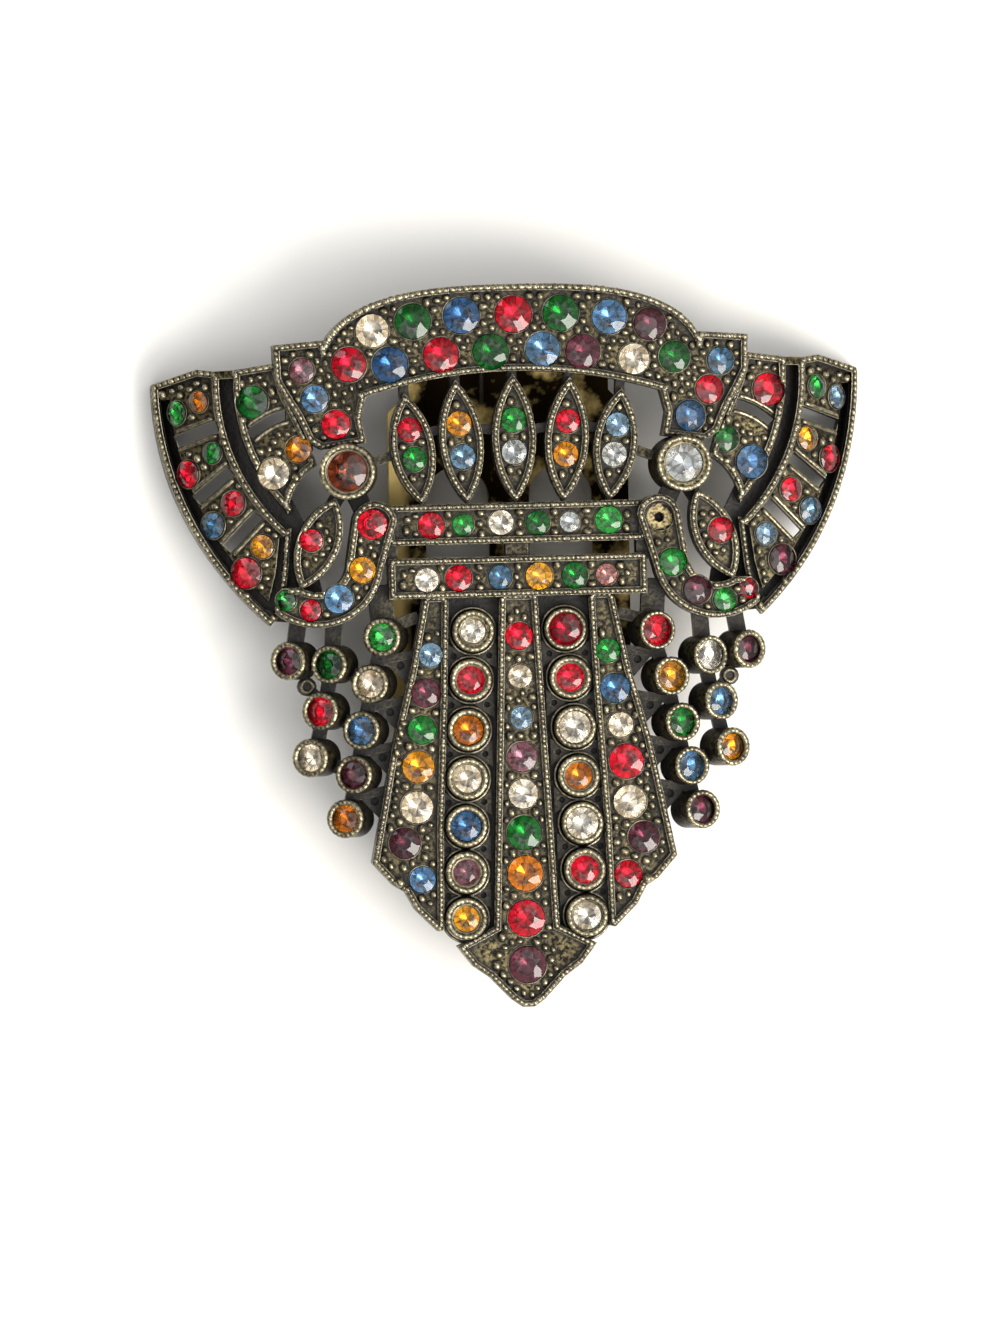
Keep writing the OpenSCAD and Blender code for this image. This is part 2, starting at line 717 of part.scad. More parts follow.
// Closely wound coil round the pin, with one leg to the plate and one down on the fork
module spring() {
    pitch = 0.9 * wire_d;
    turns = floor((2 * coil_half - 0.4 - wire_d) / pitch);
    first = -turns * pitch / 2;
    leg_up = face_z - plate_t - hinge_z - 0.1;
    fork_top = -(knuckle_lift - lever_t / 2) / cos(fork_slope) - leg_l * tan(fork_slope);
    leg_drop = coil_r - fork_top - wire_d / 2 - 0.06;
    color("silver") translate([0, hinge_y, hinge_z]) {
        rotate([0, 90, 0]) rotate_extrude($fn = fine)
            for (i = [0:turns]) {
                translate([coil_r, first + pitch * i]) circle(wire_d / 2, $fn = 24);
            }
        translate([-first, coil_r, 0]) cylinder(r = wire_d / 2, h = leg_up, $fn = 24);
        translate([first, 0, coil_r]) rotate([90 + atan2(leg_drop, leg_l), 0, 0])
            cylinder(r = wire_d / 2, h = norm([leg_l, leg_drop]), $fn = 24);
    }
}

casting();
union() {  // arch_stones
    stones(concat(both_of(arch_pairs), arch_singles), band_girdle);
}
union() {  // shoulder_stones
    stones(both_of(shoulder_pairs), band_girdle);
    stones(both_of(big_pairs), big_girdle);
}
union() {  // navette_stones
    stones(concat(both_of(navette_pairs), navette_singles), navette_girdle);
}
stones(bar_singles, band_girdle);  // bar_stones
stones(left_of(wing_pairs), wing_girdle);  // wing_stones_left
stones(right_of(wing_pairs), wing_girdle);  // wing_stones_right
stones(both_of(bow_pairs), bow_girdle);  // bow_stones
union() {  // chain_stones
    stones(both_of(chain_pairs), chain_girdle, chain_lean);
}
union() {  // fan_stones
    stones(both_of(column_pairs), column_girdle);
    stones(both_of(strip_pairs), fan_girdle);
    stones(centre_singles, fan_girdle);
}
lever();
hinge_pin();
spring();
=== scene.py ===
# %% [markdown]
# # A domed dress clip in antiqued pot metal
#
# The clip is one pierced casting set with small glass stones, and a brass fork behind it grips
# the cloth. The cast shape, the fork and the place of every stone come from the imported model,
# which stays as it is. This lesson adds what a jeweller's eye looks for: cut and foiled glass,
# milled edges, beads that hold the stones, and old metal with dark hollows and rubbed edges.

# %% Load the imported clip
import math
import random

import bpy
import numpy as np
from mathutils import Matrix, Vector
from mathutils.bvhtree import BVHTree
from mathutils.kdtree import KDTree


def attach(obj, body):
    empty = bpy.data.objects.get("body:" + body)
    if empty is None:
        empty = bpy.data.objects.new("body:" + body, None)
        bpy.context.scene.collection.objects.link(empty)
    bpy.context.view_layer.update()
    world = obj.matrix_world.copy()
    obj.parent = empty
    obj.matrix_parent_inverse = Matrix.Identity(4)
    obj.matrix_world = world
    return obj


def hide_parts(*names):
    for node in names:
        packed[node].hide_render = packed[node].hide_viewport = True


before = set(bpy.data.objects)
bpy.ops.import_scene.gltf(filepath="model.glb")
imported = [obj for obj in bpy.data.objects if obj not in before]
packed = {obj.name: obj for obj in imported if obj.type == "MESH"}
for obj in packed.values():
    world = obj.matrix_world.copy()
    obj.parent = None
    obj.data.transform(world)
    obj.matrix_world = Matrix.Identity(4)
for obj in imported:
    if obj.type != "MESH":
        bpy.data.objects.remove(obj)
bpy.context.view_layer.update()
MM = 0.001
print("pieces of the packed clip:", sorted(packed))

# %% [markdown]
# ## The dome of the face
#
# The face bends back towards the wings, first on a gentle curve and then on a steep one. A bead
# or a stone has to stand square to that curve. So the numbers that shaped the casting are
# written here once more, and they tell how far any place stands over the face.

# %% The dome, in millimetres
# The face is level as far as FLAT_HALF from the middle line and steep from TURN_X on
FACE_Z = 9.6
FLAT_HALF = 9.0
TURN_X = 22.0
GENTLE_R = 40.0
STEEP_R = 16.0
TURN_SIN = (TURN_X - FLAT_HALF) / GENTLE_R
TURN_COS = math.sqrt(1 - TURN_SIN ** 2)
TURN_Z = FACE_Z - GENTLE_R * (1 - TURN_COS)
GENTLE_C = Vector((FLAT_HALF, FACE_Z - GENTLE_R))
STEEP_C = Vector((TURN_X - STEEP_R * TURN_SIN, TURN_Z - STEEP_R * TURN_COS))


def over_face(place):
    """How far a place, in mm, stands over the smooth face of the dome."""
    side = Vector((abs(place[0]), place[2]))
    if side.x <= FLAT_HALF:
        return side.y - FACE_Z
    from_gentle = side - GENTLE_C
    if from_gentle.x <= TURN_SIN * from_gentle.length:
        return from_gentle.length - GENTLE_R
    return (side - STEEP_C).length - STEEP_R


# %% Feel for the metal from above
casting = packed["casting"]
casting_tree = BVHTree.FromObject(casting, bpy.context.evaluated_depsgraph_get())
START_Z = 30
NO_METAL = -99.0


def metal_under(x, y):
    """The first metal under a point of the plan: its place in mm, its normal, its rise over
    the face."""
    start = Vector((x, y, START_Z)) * MM
    place, normal, _, _ = casting_tree.ray_cast(start, Vector((0, 0, -1)))
    if place is None:
        return None, None, NO_METAL
    place = place / MM
    return place, normal, over_face(place)


print("the arch's edge stands", round(metal_under(4.2, 30.2)[2], 2), "mm over the face")

# %% [markdown]
# ## Colours and nodes
#
# Colours are picked as sRGB hex values, the way a colour chart prints them, but the shader
# works in linear light. One function turns the one into the other. A second small function
# adds a node, sets it and links it, so that a material reads as a list of steps.


# %% Helpers for materials
def linear(code):
    """A linear colour from an sRGB hex value such as #8a7f66."""
    parts = [int(code[i:i + 2], 16) / 255 for i in (1, 3, 5)]
    return [p / 12.92 if p <= 0.04045 else ((p + 0.055) / 1.055) ** 2.4 for p in parts] + [1.0]


def add_node(tree, kind, values=None, links=None, **settings):
    """Adds one shader node with its settings, its socket values and its incoming links.

    A link comes from a socket, or from a node, which then stands for its first output."""
    node = tree.nodes.new("ShaderNode" + kind)
    for name, value in settings.items():
        setattr(node, name, value)
    for socket, value in (values or {}).items():
        node.inputs[socket].default_value = value
    for socket, source in (links or {}).items():
        output = source.outputs[0] if isinstance(source, bpy.types.Node) else source
        tree.links.new(output, node.inputs[socket])
    return node


def new_material(name):
    """An empty node material and its tree."""
    material = bpy.data.materials.new(name)
    material.use_nodes = True
    material.node_tree.nodes.clear()
    return material, material.node_tree


# The Mix node has a set of sockets for each type, and its two colours and its result are these
MIX_A, MIX_B, MIX_OUT = 6, 7, 2

# %% [markdown]
# ## Antiqued pot metal
#
# Pot metal is a cheap white alloy that was cast, plated and then darkened with a wash of black.
# The wash stays in the hollows and is rubbed off where fingers and cloth reach, and the same
# darkening in the hollows also stands in for the shade that falls there, so it is partly wash and
# partly painted shade. So the colour needs to know what is deep and what is an edge. Ambient
# occlusion tells the first, and the bevel node tells the second, because its rounded normal
# differs from the true one only near an edge. The same rounded normal also gives each cast edge
# a thin line of light. Below the face the walls of the collets and the webs between them are
# painted nearly black: partly wash that nobody rubs off there, partly painted shade. The drop of
# the dome is close to a power of the distance from the middle line, so a few sums on the position
# tell the shader how far it is below the face. The back is plain and rubs against the cloth, so
# where the metal faces backwards this darkness is taken off again.


# %% Where the metal is rubbed
# At 30 mm from the middle line the dome has dropped by 8.26 mm
DROP_AT, DROP, DROP_POWER = 30, 8.26, 4.31
# Metal is rubbed and free of painted shade down to the first of these depths under the face, and
# less so down to the second
RUBBED_UNSHADED_DEPTH, WASHED_SHADED_DEPTH = 0.15, 0.75


def rubbed_and_unshaded(tree):
    """How much is rubbed and free of painted shade: all of the face, little of what lies below it,
    most of the back.
    """
    coordinates = add_node(tree, "TexCoord")
    parts = add_node(tree, "SeparateXYZ", links={0: coordinates.outputs["Object"]})
    aside = add_node(tree, "Math", {1: DROP_AT * MM}, {0: parts.outputs["X"]},
                     operation="DIVIDE")
    distance = add_node(tree, "Math", links={0: aside}, operation="ABSOLUTE")
    curve = add_node(tree, "Math", {1: DROP_POWER}, {0: distance}, operation="POWER")
    level = add_node(tree, "Math", {1: DROP * MM}, {0: curve, 2: parts.outputs["Z"]},
                     operation="MULTIPLY_ADD")
    # Below the face the metal is painted dark: partly wash, partly painted shade
    shallow = add_node(tree, "MapRange", {
        "From Min": (FACE_Z - WASHED_SHADED_DEPTH) * MM, "From Max": (FACE_Z - RUBBED_UNSHADED_DEPTH) * MM,
        "To Min": 0.1}, {"Value": level}, interpolation_type="SMOOTHSTEP")
    facing = add_node(tree, "SeparateXYZ", links={0: coordinates.outputs["Normal"]})
    behind = add_node(tree, "MapRange", {"From Min": -0.3, "From Max": -0.7, "To Max": 0.8},
                      {"Value": facing.outputs["Z"]})
    return add_node(tree, "Math", links={0: shallow, 1: behind}, operation="MAXIMUM")


def near_edge(tree):
    """A normal that is rounded at edges, and how much it differs from the true one there."""
    rounded = add_node(tree, "Bevel", {"Radius": 0.12 * MM}, samples=4)
    true = add_node(tree, "NewGeometry")
    same = add_node(tree, "VectorMath", links={0: rounded, 1: true.outputs["Normal"]},
                    operation="DOT_PRODUCT")
    edge = add_node(tree, "MapRange", {"From Min": 0.99, "From Max": 0.85, "To Max": 0.9},
                    {"Value": same.outputs["Value"]})
    return rounded, edge


print("drop at the turn, in mm, by the power:", round(DROP * (TURN_X / DROP_AT) ** DROP_POWER, 2),
      "and by the arcs:", round(FACE_Z - TURN_Z, 2))


# %% Old pot metal
def pot_metal(name, hollow, field, rubbed, rough, grain_depth, bare, reach):
    """Cast white metal, wash and painted shade in its hollows: grain of 0.3 mm, blotches of 3 mm.

    The least share of bare metal in the patches is bare, and the wash and painted shade feel for
    walls as far as reach."""
    material, tree = new_material(name)
    where = add_node(tree, "TexCoord").outputs["Object"]
    # The occlusion darkens the hollows, both as the black wash and as painted shade
    depth = add_node(tree, "AmbientOcclusion", {"Distance": reach}, samples=8)
    open_part = add_node(tree, "MapRange", {"From Min": 0.48, "From Max": 0.96},
                         {"Value": depth.outputs["AO"]}, interpolation_type="SMOOTHSTEP")
    unwashed_unshaded = add_node(tree, "Math", links={0: open_part, 1: rubbed_and_unshaded(tree)},
                     operation="MULTIPLY")
    rounded, edge = near_edge(tree)
    # Field colour lighter or darker in patches, rubbed edges, then wash and painted shade in
    # hollows
    blotch = add_node(tree, "TexNoise", {"Scale": 330, "Detail": 3}, {"Vector": where})
    grain = add_node(tree, "TexNoise", {"Scale": 3000, "Detail": 4, "Roughness": 0.6},
                     {"Vector": where})
    patches = add_node(tree, "MapRange", {"From Min": 0.42, "From Max": 0.6, "To Min": bare},
                       {"Value": grain})
    tone = add_node(tree, "MapRange", {"From Min": 0.3, "From Max": 0.7,
                                       "To Min": 0.3 + 0.7 * bare}, {"Value": blotch})
    mixed = add_node(tree, "Math", links={0: tone, 1: patches}, operation="MULTIPLY")
    plain = add_node(tree, "Mix", {MIX_A: linear(hollow), MIX_B: linear(field)}, {0: mixed},
                     data_type="RGBA")
    worn = add_node(tree, "Mix", {MIX_B: linear(rubbed)},
                    {0: edge, MIX_A: plain.outputs[MIX_OUT]}, data_type="RGBA")
    # Wash and painted shade: the hollow colour goes where the metal is deep or below the face
    washed_and_shaded = add_node(tree, "Mix", {MIX_A: linear(hollow)},
                      {0: unwashed_unshaded, MIX_B: worn.outputs[MIX_OUT]}, data_type="RGBA")
    metal = add_node(tree, "MapRange", {"To Min": 0.25, "To Max": 0.9}, {"Value": unwashed_unshaded})
    rougher = add_node(tree, "MapRange", {"To Min": rough + 0.2, "To Max": rough},
                       {"Value": open_part})
    bump = add_node(tree, "Bump", {"Strength": 0.7, "Distance": grain_depth},
                    {"Height": grain, "Normal": rounded})
    shader = add_node(tree, "BsdfPrincipled", links={
        "Base Color": washed_and_shaded.outputs[MIX_OUT], "Metallic": metal, "Roughness": rougher,
        "Normal": bump})
    add_node(tree, "OutputMaterial", links={"Surface": shader})
    return material


cast_metal = pot_metal("antiqued pot metal", "#0c0805", "#877b57", "#f0e7ca", rough=0.34,
                       grain_depth=0.16 * MM, bare=0.0, reach=1.8 * MM)
bead_metal = pot_metal("rubbed pot metal", "#140e08", "#b4aa8c", "#fcf8ea", rough=0.24,
                       grain_depth=0.03 * MM, bare=0.3, reach=0.6 * MM)
casting.data.materials.clear()
casting.data.materials.append(cast_metal)
print("metals:", cast_metal.name, "and", bead_metal.name)

# %% [markdown]
# ## Old gilt brass and drawn wire
#
# The fork is rolled brass sheet that was once gilded. It lies behind the piercings, where it is
# nearly black: the gilding has gone in patches, and the side that faces the casting is darkened
# further as painted shade. A strip along its left edge, beside the first navette, is painted
# bright as a painted glint. Its back is plain brown brass. Rolling leaves fine lines along the
# sheet, so the noise is stretched along the fork. The pin is of the same brass, and the coil is
# dull steel wire, drawn through a die, which leaves lines round it too fine to show.


# %% Brass and wire
GLINT_FADE = 0.9  # the millimetres over which the painted glint on the left edge fades out


def old_sheet(name, bright, dull, rough, stretch, glint_beyond):
    """Rolled or drawn metal gone dull in patches of 2 to 4 mm, with lines about 0.2 mm apart.

    Further to the left than the last argument, in mm, a painted glint makes it bright; where it
    faces up towards the casting, painted shade darkens it."""
    material, tree = new_material(name)
    coordinates = add_node(tree, "TexCoord")
    where = coordinates.outputs["Object"]
    patches = add_node(tree, "TexNoise", {"Scale": 280, "Detail": 5, "Roughness": 0.6},
                       {"Vector": where})
    along = add_node(tree, "Mapping", {"Scale": stretch}, {"Vector": where})
    lines = add_node(tree, "TexNoise", {"Scale": 4500, "Detail": 2}, {"Vector": along})
    side = add_node(tree, "SeparateXYZ", links={0: where})
    # Painted glint: left of the given distance the sheet is painted bright
    kept = add_node(tree, "MapRange", {"From Min": -glint_beyond * MM,
                                       "From Max": (-glint_beyond + GLINT_FADE) * MM},
                    {"Value": side.outputs["X"]})
    gone = add_node(tree, "MapRange", {"From Min": 0.28, "From Max": 0.5}, {"Value": patches})
    facing = add_node(tree, "SeparateXYZ", links={0: coordinates.outputs["Normal"]})
    # Painted shade: faces turned up, towards the back of the casting, are painted darker
    casting_side_shade = add_node(tree, "MapRange", {"From Min": 0.2, "From Max": 0.6, "To Min": 0.75},
                       {"Value": facing.outputs["Z"]})
    both = add_node(tree, "Math", links={0: kept, 1: gone}, operation="MULTIPLY")
    tone = add_node(tree, "Math", links={0: both, 1: casting_side_shade}, operation="MULTIPLY")
    # The dull colour also serves as painted shade, and the bright one as the painted glint
    colour = add_node(tree, "Mix", {MIX_A: linear(bright), MIX_B: linear(dull)}, {0: tone},
                      data_type="RGBA")
    rougher = add_node(tree, "MapRange", {"To Min": rough, "To Max": rough + 0.25},
                       {"Value": tone})
    rounded = add_node(tree, "Bevel", {"Radius": 0.15 * MM}, samples=4)
    bump = add_node(tree, "Bump", {"Strength": 0.3, "Distance": 0.02 * MM},
                    {"Height": lines, "Normal": rounded})
    shader = add_node(tree, "BsdfPrincipled", {"Metallic": 1.0}, {
        "Base Color": colour.outputs[MIX_OUT], "Roughness": rougher, "Normal": bump})
    add_node(tree, "OutputMaterial", links={"Surface": shader})
    return material


# For the brass the dark colour is tarnish and painted shade, the light one gilding and glint
gilt_brass = old_sheet("old gilt brass", "#e4c880", "#1c140a", rough=0.38,
                       stretch=(1, 0.06, 1), glint_beyond=9.3)
drawn_wire = old_sheet("dull steel wire", "#8d8a84", "#4c463e", rough=0.35,
                       stretch=(1, 1, 1), glint_beyond=40)
for node, metal in (("lever", gilt_brass), ("hinge_pin", gilt_brass), ("spring", drawn_wire)):
    packed[node].data.materials.clear()
    packed[node].data.materials.append(metal)
print("brass:", gilt_brass.name, " wire:", drawn_wire.name)

# %% [markdown]
# ## Meshes made of many small shapes
#
# Hundreds of beads, rings and stones would be slow as separate objects. So each shape is worked
# out as points and faces, set in its place, and gathered into one mesh for each kind.


# %% A gatherer of small shapes
STONE_TONE, FOIL_TONE = "stone tone", "foil tone"


def new_object(name, data):
    """An object of the scene that shows a mesh, a light or a camera."""
    thing = bpy.data.objects.new(name, data)
    bpy.context.scene.collection.objects.link(thing)
    return thing


class Gathered:
    """Points and faces of many small shapes, in mm, that become one mesh."""

    def __init__(self):
        self.points, self.faces, self.kinds, self.count = [], [], [], 0
        self.tones = {STONE_TONE: [], FOIL_TONE: []}

    def add(self, place, points, faces, kinds=None):
        """Adds a shape at a place. Its kinds say which material each face has."""
        first = len(self.points)
        self.points += [place @ Vector(p) for p in points]
        self.faces += [[first + i for i in face] for face in faces]
        self.kinds += kinds or [0] * len(faces)
        self.count += 1

    def make(self, name, materials, smooth):
        """The mesh object, riding on the front of the clip."""
        mesh = bpy.data.meshes.new(name)
        mesh.from_pydata([p * MM for p in self.points], [], self.faces)
        for material in materials:
            mesh.materials.append(material)
        mesh.polygons.foreach_set("material_index", self.kinds)
        mesh.polygons.foreach_set("use_smooth", [smooth] * len(self.faces))
        for tone, values in self.tones.items():
            if values:
                mesh.attributes.new(tone, "FLOAT", "FACE").data.foreach_set("value", values)
        piece = new_object(name, mesh)
        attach(piece, "front")
        print(name, "holds", self.count, "shapes and", len(self.faces), "faces")
        return piece


# %% Simple shapes
def stand(place, up, along=Vector((0, 1, 0)), size=(1, 1, 1)):
    """A place to stand a shape: its point, its upward axis, its long axis and its size."""
    up = up.normalized()
    x = (along - up * along.dot(up)).normalized()
    turned = Matrix((x, up.cross(x), up)).transposed().to_4x4()
    return Matrix.Translation(place) @ turned @ Matrix.Diagonal((*size, 1))


def circle(radius, z, sides, turn=0.0):
    """Points on a level circle."""
    return [(radius * math.cos(math.tau * i / sides + turn),
             radius * math.sin(math.tau * i / sides + turn), z) for i in range(sides)]


def ring_faces(rings, sides):
    """Faces between rings of points that have the same number of sides."""
    faces = []
    for r in range(rings - 1):
        for i in range(sides):
            a, b = r * sides + i, r * sides + (i + 1) % sides
            faces.append([a, b, b + sides, a + sides])
    return faces


def dome_shape(sides, rings):
    """A half ball of radius 1 that stands on z = 0, with a short foot below."""
    points = circle(1, -0.4, sides)
    for r in range(rings):
        lift = math.pi / 2 * r / rings
        points += circle(math.cos(lift), math.sin(lift), sides)
    points.append((0, 0, 1))
    tip = len(points) - 1
    first = tip - sides
    top = [[first + i, first + (i + 1) % sides, tip] for i in range(sides)]
    return points, ring_faces(rings + 1, sides) + top


def ring_shape(radius, tube, sides, around):
    """A ring of round wire."""
    points, faces = [], []
    for i in range(sides):
        a = math.tau * i / sides
        for j in range(around):
            b = math.tau * j / around
            reach = radius + tube * math.cos(b)
            points.append((reach * math.cos(a), reach * math.sin(a), tube * math.sin(b)))
    for i in range(sides):
        for j in range(around):
            k, n = (i + 1) % sides, (j + 1) % around
            faces.append([i * around + j, k * around + j, k * around + n, i * around + n])
    return points, faces


def tree_of(spots):
    """A tree that finds the nearest of some spots on the plan, by its number."""
    tree = KDTree(len(spots))
    for number, (x, y) in enumerate(spots):
        tree.insert((x, y, 0), number)
    tree.balance()
    return tree


print("a bead of 8 sides has", len(dome_shape(8, 3)[1]), "faces")

# %% [markdown]
# ## Where the stones are
#
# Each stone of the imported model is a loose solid. Its points lie on rings round one axis, so the
# middle of the points is on that axis, and the axis is the direction in which the points spread
# least. That gives the seat of each stone, and the detailed stone is set in the same seat.


# %% Find the seats
PACKED_CROWN = 0.2  # the height of a packed stone's crown, as a share of its diameter
ROUNDING = 1e7  # points that agree to 0.1 micrometres are one point


def seats_of(node):
    """Girdle centre in mm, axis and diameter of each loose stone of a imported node."""
    mesh = packed[node].data
    same = {}
    index = [same.setdefault(tuple(round(c * ROUNDING) for c in v.co), len(same))
             for v in mesh.vertices]
    places = np.zeros((len(same), 3))
    for vertex, i in zip(mesh.vertices, index):
        places[i] = np.array(vertex.co) / MM
    group = list(range(len(same)))

    def root(i):
        while group[i] != i:
            group[i] = group[group[i]]
            i = group[i]
        return i

    for face in mesh.polygons:
        first = root(index[face.vertices[0]])
        for v in face.vertices[1:]:
            group[root(index[v])] = first
    islands = {}
    for i in range(len(same)):
        islands.setdefault(root(i), []).append(i)
    seats = []
    for members in islands.values():
        points = places[members]
        middle = points.mean(axis=0)
        _, _, spread = np.linalg.svd(points - middle)
        axis = spread[2] * (1 if spread[2][2] > 0 else -1)
        along = (points - middle) @ axis
        out = np.linalg.norm(points - middle - np.outer(along, axis), axis=1).max()
        girdle = middle + axis * (along.max() - PACKED_CROWN * 2 * out)
        seats.append((Vector(girdle), Vector(axis), 2 * out))
    return seats


STONE_NODES = [name for name in packed if "_stones" in name]
seats = {name: seats_of(name) for name in STONE_NODES}
print("stones:", {name: len(found) for name, found in seats.items()})

# %% [markdown]
# ## Which colour goes where
#
# The colours follow no rule, as in the real clip, whose stones were set at random and some of
# which were replaced. Each entry of the chart below gives a place on the plan in mm, and the
# colours of the stones at that distance to the left and to the right of the middle line. The
# letters stand for the glass colours of the next step, and a dash is the empty seat.

# %% The chart of colours
PAIRS = [
    # Arch
    (4.2, 27.9, "B", "G"), (8.3, 27.5, "G", "B"), (11.7, 26.8, "w", "A"),
    (13.7, 24.0, "R", "G"), (10.3, 23.9, "B", "w"), (6.0, 24.6, "R", "A"),
    # Shoulders and big collets
    (17.6, 23.6, "a", "b"), (16.6, 21.2, "B", "R"), (14.9, 19.0, "R", "B"), (14.0, 15.0, "K", "c"),
    # Navettes
    (8.8, 18.4, "R", "b"), (8.45, 15.9, "G", "c"), (4.6, 18.8, "T", "R"), (4.35, 16.0, "b", "T"),
    # Wings
    (26.2, 21.3, "T", "g"), (28.0, 20.4, "g", "b"), (25.2, 16.9, "g", "T"),
    (27.2, 15.2, "R", "R"), (23.6, 12.6, "R", "R"), (25.3, 10.8, "b", "b"),
    (21.3, 8.9, "T", "b"), (22.7, 6.7, "R", "A"), (21.8, 21.1, "G", "R"),
    (18.1, 17.0, "T", "G"), (20.2, 15.0, "w", "B"),
    # Bows
    (17.1, 9.3, "R", "R"), (12.1, 10.5, "R", "-"), (13.0, 6.7, "T", "G"),
    (15.0, 4.3, "B", "A"), (17.3, 3.4, "R", "g"), (19.3, 4.3, "g", "R"),
    # Outer side chains
    (15.7, -1.2, "G", "C"), (16.5, -5.1, "R", "B"), (17.4, -9.0, "w", "T"), (19.0, -0.8, "A", "A"),
    # Side strips of the fan
    (7.5, -0.6, "b", "g"), (8.0, -3.8, "A", "B"), (8.4, -6.9, "G", "w"), (8.8, -10.0, "T", "R"),
    (9.0, -13.4, "w", "w"), (10.1, -16.4, "A", "A"), (8.7, -19.5, "B", "R")]
INNER_CHAIN = [
    (11.3, 1.0, "g", "R"), (12.4, -2.9, "w", "T"), (13.2, -6.8, "B", "G"), (13.9, -10.5, "A", "B"),
    (14.7, -14.2, "t", "A")]
FAN_COLUMN = [
    (3.9, 1.3, "C", "D"), (4.2, -2.8, "R", "R"), (4.5, -7.0, "t", "C"), (4.7, -11.1, "w", "t"),
    (4.9, -15.1, "B", "C"), (5.0, -19.0, "a", "R"), (5.1, -22.9, "T", "C")]
SINGLES = [
    # Arch and navette in the middle
    (0.2, 27.9, "R"), (-1.8, 24.8, "G"), (2.6, 24.9, "B"), (0, 19.0, "G"), (0, 16.3, "c"),
    # Bars
    (-7.2, 10.3, "R"), (-4.5, 10.3, "g"), (-1.3, 10.4, "C"), (1.8, 10.3, "G"), (4.5, 10.3, "c"),
    (7.8, 10.4, "g"), (-7.7, 5.7, "C"), (-5.0, 5.8, "R"), (-1.5, 5.8, "b"), (1.8, 5.8, "T"),
    (4.8, 5.8, "G"), (7.5, 5.8, "p"),
    # Centre strip of the fan
    (0, 0.8, "R"), (0, -2.6, "w"), (0, -6.1, "b"), (0, -9.4, "a"), (0, -12.5, "C"),
    (0, -15.8, "G"), (0, -19.2, "t"), (0, -23.0, "R"), (0, -26.9, "A")]
chart = list(SINGLES)
for x, y, left, right in PAIRS + INNER_CHAIN + FAN_COLUMN:
    chart += [(-x, y, left), (x, y, right)]
chart_tree = tree_of([(x, y) for x, y, _ in chart])


def colour_at(place):
    """The chart's colour for the stone at a place, and how far the chart's place is from it."""
    _, number, distance = chart_tree.find((place.x, place.y, 0))
    return chart[number][2], distance


worst = max(colour_at(girdle)[1] for found in seats.values() for girdle, _, _ in found)
print("the chart is never more than", round(worst, 2), "mm from a stone")

# %% [markdown]
# ## Glass and foil
#
# The stones are leaded glass, coloured all through and backed with silver foil that sends the
# light out again. Real foil under real glass gives the star that a painted surface can't: the
# eye looks through the crown at slanted mirrors. So each stone is closed glass whose back
# facets are metal. Cheap crystal of this kind has an IOR a little over 1.5. Each back facet has
# its own tone at random: old foil has gone dull in places, and the tone also paints in light and
# dark wedges of the star. Each stone has one too, because no two came from one melt.

# %% Glass colours and foil
GLASS = {
    "R": ("ruby glass", "#b80622", "#f41634"),
    "D": ("dark ruby glass", "#7a0418", "#a00824"),
    "G": ("emerald glass", "#08541a", "#168a30"),
    "g": ("bright green glass", "#12822c", "#38b44e"),
    "B": ("sapphire blue glass", "#2a548a", "#6494c8"),
    "b": ("light blue glass", "#4676a2", "#86aacc"),
    "A": ("amethyst glass", "#3c1424", "#6c3446"),
    "a": ("light amethyst glass", "#6c3c4c", "#a07080"),
    "p": ("rose glass", "#b87474", "#e8acac"),
    "T": ("topaz glass", "#c46c06", "#f8b42a"),
    "t": ("orange topaz glass", "#a04404", "#dc8018"),
    "K": ("brown topaz glass", "#4c1a08", "#803818"),
    "C": ("clear glass", "#f8f2e8", "#fffefa"),
    "w": ("warm clear glass", "#f8e8d0", "#fff6e6"),
    "c": ("grey-blue clear glass", "#a4aeb8", "#d0d8e0")}


def cut_glass(name, deep, light):
    """Coloured glass, worn a little, so that its glints are soft."""
    material, tree = new_material(name)
    tone = add_node(tree, "Attribute", attribute_name=STONE_TONE)
    body = add_node(tree, "Mix", {MIX_A: linear(deep), MIX_B: linear(light)},
                    {0: tone.outputs["Fac"]}, data_type="RGBA")
    shader = add_node(tree, "BsdfPrincipled",
                      {"Roughness": 0.06, "IOR": 1.52, "Transmission Weight": 1.0},
                      {"Base Color": body.outputs[MIX_OUT]})
    add_node(tree, "OutputMaterial", links={"Surface": shader})
    return material


def old_foil():
    """Silvered foil, dull or bright by facet as old foil and painted facet shading; soft creases
    0.8 mm apart.
    """
    material, tree = new_material("old silver foil")
    tone = add_node(tree, "Attribute", attribute_name=FOIL_TONE)
    colour = add_node(tree, "Mix", {MIX_A: linear("#a89c88"), MIX_B: linear("#fffefa")},
                      {0: tone.outputs["Fac"]}, data_type="RGBA")
    where = add_node(tree, "TexCoord").outputs["Object"]
    creases = add_node(tree, "TexNoise", {"Scale": 1200, "Detail": 1}, {"Vector": where})
    bump = add_node(tree, "Bump", {"Strength": 0.25, "Distance": 0.04 * MM},
                    {"Height": creases})
    shader = add_node(tree, "BsdfPrincipled", {"Metallic": 1.0, "Roughness": 0.22},
                      {"Base Color": colour.outputs[MIX_OUT], "Normal": bump})
    add_node(tree, "OutputMaterial", links={"Surface": shader})
    return material


GLASS_ORDER = list(GLASS)
stone_materials = [cut_glass(*GLASS[code]) for code in GLASS_ORDER] + [old_foil()]
FOIL = len(GLASS_ORDER)
print("glass colours:", [words[0] for words in GLASS.values()])

